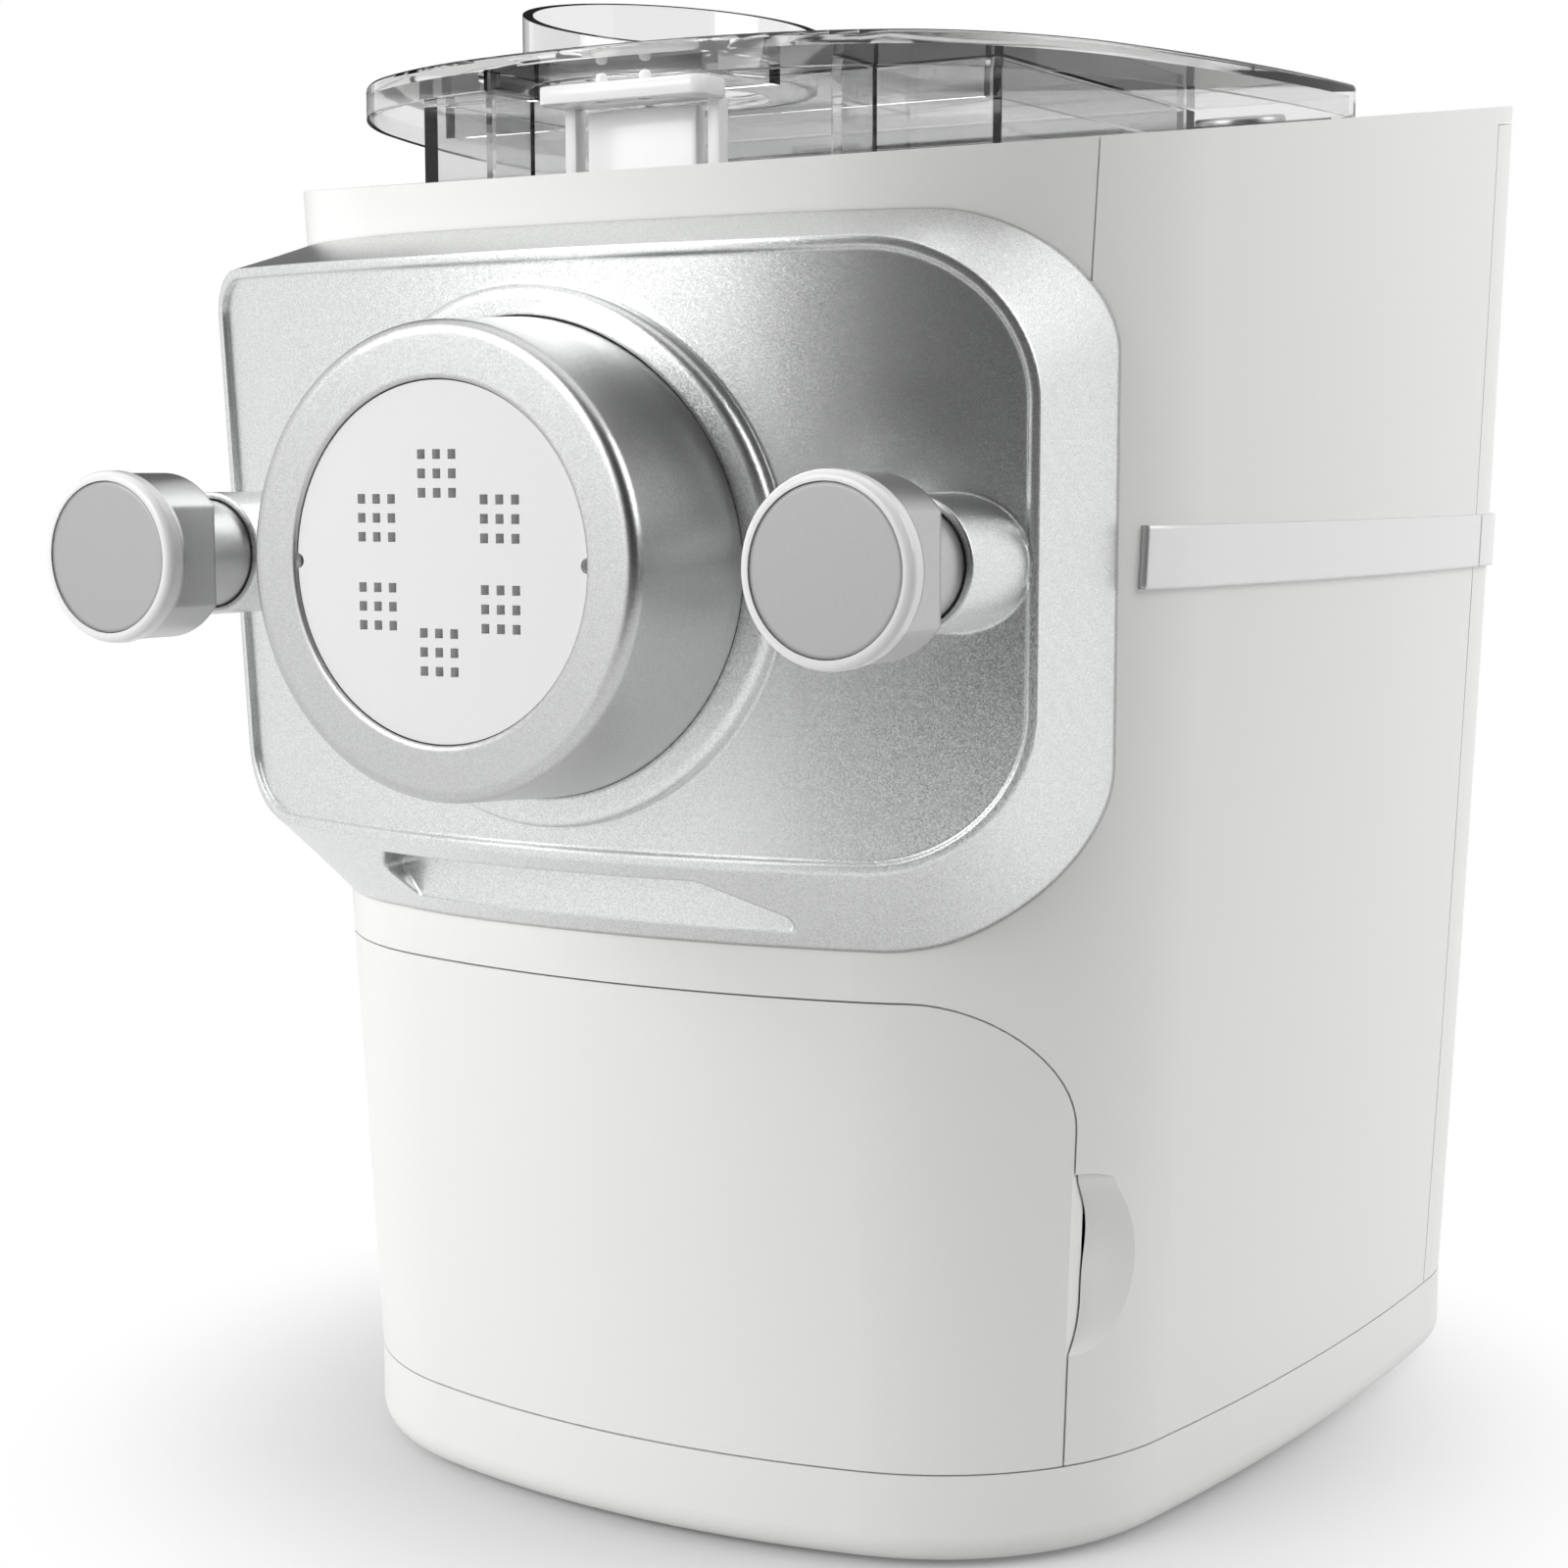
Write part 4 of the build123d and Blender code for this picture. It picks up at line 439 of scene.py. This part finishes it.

# %% [markdown]
# ## Putting the finishes on
#
# The frame's record says which material slot each node has, so one loop dresses the whole machine.
# Only the ring round the disc differs: it shares a slot with the panel but takes the darker copy of
# the panel's silver, whose darker grey is painted shade on the ring's barrel.

# %% Assign finishes
slot_of = {part["node"]: part["material_slot"] for part in frame["record"]["subparts"]}
# The ring's darker silver is painted shade on its barrel.
slot_of["disc_ring"] = "painted_shade_ring_silver"
for name, node in frame["nodes"].items():
    for material_slot in node.material_slots:
        material_slot.material = finishes[slot_of[name]]
print("dressed:", len(frame["nodes"]), "nodes")

# %% [markdown]
# ## From a bmesh to a piece
#
# The new pieces below are all shaped as a bmesh first. Two helpers finish them. One smooths every
# face but keeps the creases, which is how a moulding with crisp edges should be shaded. The other
# turns the bmesh into an object at the origin, as the frame's own pieces are.

# %% Piece helpers
CREASE = math.radians(25)


def smooth_to_creases(shape):
    bmesh.ops.recalc_face_normals(shape, faces=shape.faces)
    for face in shape.faces:
        face.smooth = True
    for edge in shape.edges:
        edge.smooth = edge.is_manifold and edge.calc_face_angle() < CREASE


def open_edges(shape):
    return sum(not edge.is_manifold for edge in shape.edges)


def new_piece(name, shape):
    """Object at the origin from a bmesh, which is freed."""
    mesh = bpy.data.meshes.new(name)
    shape.to_mesh(mesh)
    shape.free()
    piece = bpy.data.objects.new(name, mesh)
    bpy.context.scene.collection.objects.link(piece)
    return piece


print("crease:", round(math.degrees(CREASE)), "degrees")

# %% [markdown]
# ## The lid's front corners
#
# The real lid is a single clear moulding whose front corners sweep round in a wide curve. The
# frame's lid is right but for that sweep, so this piece starts from a copy of it. The copy's loose
# triangles are merged, and every point past a line across each front corner is drawn in, the
# further out the more. Moving points sideways keeps the plate flat and the rim upright, which a new
# model of the whole lid would have to win back.

# %% Lid with swept corners
CORNER_BEARING = math.radians(31)
CORNER_START = 75 * MM
CORNER_PULL = 5.7
MERGE = 0.001 * MM


def sweep_front_corners(shape):
    for side in (-1, 1):
        outward = Vector((side * math.cos(CORNER_BEARING), -math.sin(CORNER_BEARING), 0))
        for point in shape.verts:
            past = point.co.dot(outward) - CORNER_START
            if past > 0:
                point.co -= outward * CORNER_PULL * past ** 2


def swept_lid():
    shape = bmesh.new()
    shape.from_mesh(frame["nodes"]["lid"].data)
    bmesh.ops.remove_doubles(shape, verts=shape.verts, dist=MERGE)
    sweep_front_corners(shape)
    smooth_to_creases(shape)
    print("lid:", len(shape.faces), "faces,", open_edges(shape), "open edges")
    return new_piece("swept_lid", shape)


lid = swept_lid()
lid.data.materials.append(finishes["clear_plastic"])
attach(lid, "lid")
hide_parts("lid")

# %% [markdown]
# ## The lid lock
#
# Behind the upper cover stands a small white moulding: a bar with rounded ends on two slim legs,
# and a slightly crowned cover between the legs that hides the switch. Two round-nosed pins come up
# through holes in the bar. The blocks start as cubes. Their upright corners are rounded first, and
# the bar and the cover get a small bevel on every edge that is still sharp after that, which is how
# a mould maker breaks edges too. Each block is given by two opposite corners.

# %% Lock sizes, in millimetres
LOCK_BAR = ((-20.0, -92.0, 294.5), (20.0, -80.6, 298.2))
BAR_CORNER = 3.0
BAR_EDGE = 0.4
LOCK_LEG = ((15.9, -83.2, 252.0), (18.8, -79.4, 294.8))
LEG_CORNER = 0.6
LOCK_COVER = ((-13.2, -82.9, 252.0), (13.2, -79.4, 293.6))
COVER_CORNER = 0.5
COVER_EDGE = 0.25
COVER_CROWN = 0.8
LOCK_PIN_X, LOCK_PIN_Y, LOCK_PIN_R = 5.25, -89.2, 1.25
LOCK_PIN_LOW, LOCK_PIN_TOP = 296.2, 300.2
LOCK_PIN_NOSE = 1.0
LOCK_PIN_GAP = 0.25
print("lock pins stand", round(LOCK_PIN_TOP - LOCK_BAR[1][2], 1), "mm above the bar")

# %% Helpers for small mouldings
SHARP = math.radians(60)
EDGE_STEPS = 2


def bevel_edges(shape, edges, size, steps):
    bmesh.ops.bevel(shape, geom=edges, offset=size * MM, offset_type="OFFSET", segments=steps,
                    profile=0.5, affect="EDGES", material=-1)


def height_of(edge):
    return abs(edge.verts[0].co.z - edge.verts[1].co.z)


def rounded_block(low, high, corner, steps, cuts=0):
    """New bmesh of a block between two corners, its upright corners rounded."""
    shape = bmesh.new()
    bmesh.ops.create_cube(shape, size=1.0)
    size = [(top - bottom) * MM for bottom, top in zip(low, high)]
    centre = [(top + bottom) / 2 * MM for bottom, top in zip(low, high)]
    bmesh.ops.scale(shape, vec=size, verts=shape.verts)
    bmesh.ops.translate(shape, vec=centre, verts=shape.verts)
    bevel_edges(shape, [edge for edge in shape.edges if height_of(edge) > MM], corner, steps)
    if cuts:
        across = [edge for edge in shape.edges
                  if edge.calc_length() > size[0] / 2 and height_of(edge) < MM]
        bmesh.ops.subdivide_edges(shape, edges=across, cuts=cuts)
    return shape


def break_sharp_edges(shape, size):
    sharp = [edge for edge in shape.edges if edge.is_manifold and edge.calc_face_angle() > SHARP]
    bevel_edges(shape, sharp, size, EDGE_STEPS)


def join_shapes(name, shapes):
    """One piece from several bmeshes, smooth but for its creases."""
    whole = bmesh.new()
    for shape in shapes:
        part = bpy.data.meshes.new("part")
        shape.to_mesh(part)
        shape.free()
        whole.from_mesh(part)
        bpy.data.meshes.remove(part)
    smooth_to_creases(whole)
    print(name + ":", len(whole.faces), "faces,", open_edges(whole), "open edges")
    return new_piece(name, whole)


# %% [markdown]
# The bar needs two holes for its pins. Its flat top and bottom are taken out, a ring of points is
# laid where each hole comes, and the flats are filled again round the rings. Bridging the upper
# ring to the lower one makes the wall of the hole. A Boolean modifier would do it too, but the
# outcome depends on its solver, and here every step shows what it does.

# %% Lock bar
PIN_SIDES = 24
BAR_CORNER_STEPS = 6


def add_ring(shape, x, y, z, radius):
    """Ring of points in a bmesh; returns its edges, each once and in the order of the points."""
    ring = bmesh.ops.create_circle(shape, cap_ends=False, segments=PIN_SIDES,
                                   radius=radius * MM)["verts"]
    bmesh.ops.translate(shape, vec=(x * MM, y * MM, z * MM), verts=ring)
    return list(dict.fromkeys(edge for point in ring for edge in point.link_edges))


def lock_bar():
    shape = rounded_block(*LOCK_BAR, corner=BAR_CORNER, steps=BAR_CORNER_STEPS)
    break_sharp_edges(shape, BAR_EDGE)
    shape.normal_update()
    hole_r = LOCK_PIN_R + LOCK_PIN_GAP
    rings = {-1: [], 1: []}
    for facing, level in ((-1, LOCK_BAR[0][2]), (1, LOCK_BAR[1][2])):
        flat = max(shape.faces, key=lambda face: face.normal.z * facing * face.calc_area())
        outline = list(flat.edges)
        bmesh.ops.delete(shape, geom=[flat], context="FACES_ONLY")
        for side in (-1, 1):
            ring = add_ring(shape, side * LOCK_PIN_X, LOCK_PIN_Y, level, hole_r)
            rings[side] += ring
            outline += ring
        bmesh.ops.triangle_fill(shape, use_beauty=True, use_dissolve=False, edges=outline)
    for ring in rings.values():
        bmesh.ops.bridge_loops(shape, edges=ring)
    return shape


# %% Lock legs and cover
COVER_CUTS = 9


def lock_leg(side):
    shape = rounded_block(*LOCK_LEG, corner=LEG_CORNER, steps=EDGE_STEPS)
    if side < 0:
        bmesh.ops.scale(shape, vec=(-1, 1, 1), verts=shape.verts)
    return shape


def lock_cover():
    shape = rounded_block(*LOCK_COVER, corner=COVER_CORNER, steps=EDGE_STEPS, cuts=COVER_CUTS)
    half = LOCK_COVER[1][0] * MM
    for point in shape.verts:
        point.co.y -= COVER_CROWN * MM * (1 - (point.co.x / half) ** 2)
    break_sharp_edges(shape, COVER_EDGE)
    return shape


lock = join_shapes("lid_lock", [lock_bar(), lock_leg(-1), lock_leg(1), lock_cover()])
lock.data.materials.append(finishes["white_gloss"])
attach(lock, "body")
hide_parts("lock_frame", "lock_plate", "lock_switch")

# %% [markdown]
# The lid presses the two pins down when it is closed, so they are a piece of their own that rides
# on the pins' body. A cone with two equal ends is a cylinder, and a wide bevel of its upper rim
# makes the round nose.

# %% Lock pins
NOSE_STEPS = 5
RIM_REACH = 0.1


def lock_pin(side):
    shape = bmesh.new()
    height = LOCK_PIN_TOP - LOCK_PIN_LOW
    bmesh.ops.create_cone(shape, cap_ends=True, segments=PIN_SIDES, radius1=LOCK_PIN_R * MM,
                          radius2=LOCK_PIN_R * MM, depth=height * MM)
    centre = (side * LOCK_PIN_X * MM, LOCK_PIN_Y * MM, (LOCK_PIN_LOW + height / 2) * MM)
    bmesh.ops.translate(shape, vec=centre, verts=shape.verts)
    rim_z = (LOCK_PIN_TOP - RIM_REACH) * MM
    rim = [edge for edge in shape.edges if all(point.co.z > rim_z for point in edge.verts)]
    bevel_edges(shape, rim, LOCK_PIN_NOSE, NOSE_STEPS)
    return shape


pins = join_shapes("round_lock_pins", [lock_pin(-1), lock_pin(1)])
pins.data.materials.append(finishes["white_gloss"])
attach(pins, "lock_pins")
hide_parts("lock_pins")

# %% [markdown]
# ## Studio
#
# The machine stands on a pale floor under soft light. The background is white for the rays that see
# it: those of the camera, those that a glossy surface reflects and those that pass through clear
# plastic. The Light Path node tells them apart, and two sums, each kept within one, join them.

# %% Rays that see the background


def add_up(tree, first, second):
    """Sum of two sockets, kept within one."""
    total = tree.nodes.new("ShaderNodeMath")
    total.use_clamp = True
    tree.links.new(first, total.inputs[0])
    tree.links.new(second, total.inputs[1])
    return total.outputs["Value"]


def background_rays(tree):
    path = tree.nodes.new("ShaderNodeLightPath").outputs
    direct = add_up(tree, path["Is Camera Ray"], path["Is Glossy Ray"])
    return add_up(tree, direct, path["Is Transmission Ray"])


# %% [markdown]
# **Floor.** Near the machine the floor is a real pale surface that takes its shadow. Further out it
# turns by a smooth step into plain white, so that no horizon shows. Its own grey matters as well:
# it is the light that the floor throws back under the panel and the drawer.

# %% Floor
FLOOR_R = 3.0
FLOOR_SIDES = 96
FLOOR_GREY = grey(0.68)
FLOOR_ROUGHNESS = 0.9
WHITE_FROM = 0.07
WHITE_TO = 0.2


def make_floor():
    shape = bmesh.new()
    bmesh.ops.create_circle(shape, cap_ends=True, radius=FLOOR_R, segments=FLOOR_SIDES)
    return new_piece("floor", shape)


def floor_finish():
    material, lit = new_finish("pale floor", Base_Color=FLOOR_GREY, Roughness=FLOOR_ROUGHNESS)
    tree = material.node_tree
    nodes, link = tree.nodes, tree.links.new
    place = nodes.new("ShaderNodeTexCoord")
    reach = nodes.new("ShaderNodeVectorMath")
    reach.operation = "LENGTH"
    link(place.outputs["Object"], reach.inputs[0])
    far = nodes.new("ShaderNodeMapRange")
    far.interpolation_type = "SMOOTHSTEP"
    far.inputs["From Min"].default_value = WHITE_FROM
    far.inputs["From Max"].default_value = WHITE_TO
    link(reach.outputs["Value"], far.inputs["Value"])
    share = nodes.new("ShaderNodeMath")
    share.operation = "MULTIPLY"
    link(far.outputs["Result"], share.inputs[0])
    link(background_rays(tree), share.inputs[1])
    white = nodes.new("ShaderNodeEmission")
    mix = nodes.new("ShaderNodeMixShader")
    link(share.outputs["Value"], mix.inputs["Fac"])
    link(lit.outputs["BSDF"], mix.inputs[1])
    link(white.outputs["Emission"], mix.inputs[2])
    link(mix.outputs["Shader"], nodes["Material Output"].inputs["Surface"])
    return material


floor = make_floor()
floor.data.materials.append(floor_finish())
print("floor radius:", FLOOR_R, "m")

# %% [markdown]
# **World.** The world is white for the rays that see it and dimmer as a lamp, so the background is
# white with no extra light on the machine.

# %% World
AMBIENT = 0.84
BACKDROP = 1.0
world = bpy.data.worlds.new("studio")
world.use_nodes = True
bpy.context.scene.world = world


def build_world(tree):
    nodes, link = tree.nodes, tree.links.new
    lamp = nodes["Background"]
    backdrop = nodes.new("ShaderNodeBackground")
    for background, strength in ((lamp, AMBIENT), (backdrop, BACKDROP)):
        background.inputs["Color"].default_value = grey(1.0)
        background.inputs["Strength"].default_value = strength
    mix = nodes.new("ShaderNodeMixShader")
    link(background_rays(tree), mix.inputs["Fac"])
    link(lamp.outputs["Background"], mix.inputs[1])
    link(backdrop.outputs["Background"], mix.inputs[2])
    link(mix.outputs["Shader"], nodes["World Output"].inputs["Surface"])


build_world(world.node_tree)
print("ambient:", AMBIENT)

# %% [markdown]
# **Dark cards.** Two curved dark cards stand on the floor, one from the front round to the right
# and one behind on the left. White plastic only turns a little greyer towards them, but silver
# paint mirrors them, and those dark patches are what makes paint read as metal. The camera doesn't
# see the cards. Each is an upright edge that is spun round the machine. Bearings are in degrees
# from the front, towards the right.

# %% Dark cards
CARD_R = 0.8
CARD_FOOT = 1 * MM
CARD_HEIGHT = 1.3
CARD_STEPS = 32
CARD_SPANS = {"right card": (-1, 82), "left card": (-165, -105)}


def dark_card(name, span_from, span_to):
    shape = bmesh.new()
    low = shape.verts.new((0, -CARD_R, CARD_FOOT))
    high = shape.verts.new((0, -CARD_R, CARD_HEIGHT))
    edge = shape.edges.new((low, high))
    start = Matrix.Rotation(math.radians(span_from), 4, "Z")
    bmesh.ops.transform(shape, matrix=start, verts=shape.verts)
    bmesh.ops.spin(shape, geom=[low, high, edge], axis=(0, 0, 1), cent=(0, 0, 0),
                   angle=math.radians(span_to - span_from), steps=CARD_STEPS)
    card = new_piece(name, shape)
    card.visible_camera = False
    card.visible_transmission = False
    return card


velvet = new_finish("black velvet", Base_Color=grey(0.02), Roughness=1.0)[0]
for name, span in CARD_SPANS.items():
    card = dark_card(name, *span)
    card.data.materials.append(velvet)
    print(name, "from", span[0], "to", span[1], "degrees")

# %% [markdown]
# **Softboxes.** Three area lamps do the rest. The key stands at the front left, which makes the
# front a little lighter on that side. A weaker one on the right lights the long side wall without
# showing in the silver paint, and one above fills the top. Big lamps far away give soft edges to
# the shadows. Places and sizes are in metres, and strengths in watts.

# %% Softboxes
TARGET = Vector((0, 0, 0.16))
SOFTBOXES = {
    "left softbox": {"place": (-0.7, -1.75, 1.05), "size": (1.4, 1.1), "watts": 21},
    "right softbox": {"place": (1.5, 0.35, 1.1), "size": (1.0, 1.0), "watts": 9.5},
    "overhead softbox": {"place": (-0.1, 0.1, 1.6), "size": (1.4, 1.2), "watts": 2},
}


def softbox(name, place, size, watts):
    data = bpy.data.lights.new(name, "AREA")
    data.shape = "RECTANGLE"
    data.size, data.size_y = size
    data.energy = watts
    lamp = bpy.data.objects.new(name, data)
    lamp.location = place
    lamp.rotation_euler = (TARGET - Vector(place)).to_track_quat("-Z", "Y").to_euler()
    bpy.context.scene.collection.objects.link(lamp)


for name, settings in SOFTBOXES.items():
    softbox(name, **settings)

# %% [markdown]
# **Colour management.** The Standard view shows each colour as it is written, which suits a product
# on white.

# %% Colour management
bpy.context.scene.view_settings.view_transform = "Standard"
print("view:", bpy.context.scene.view_settings.view_transform)
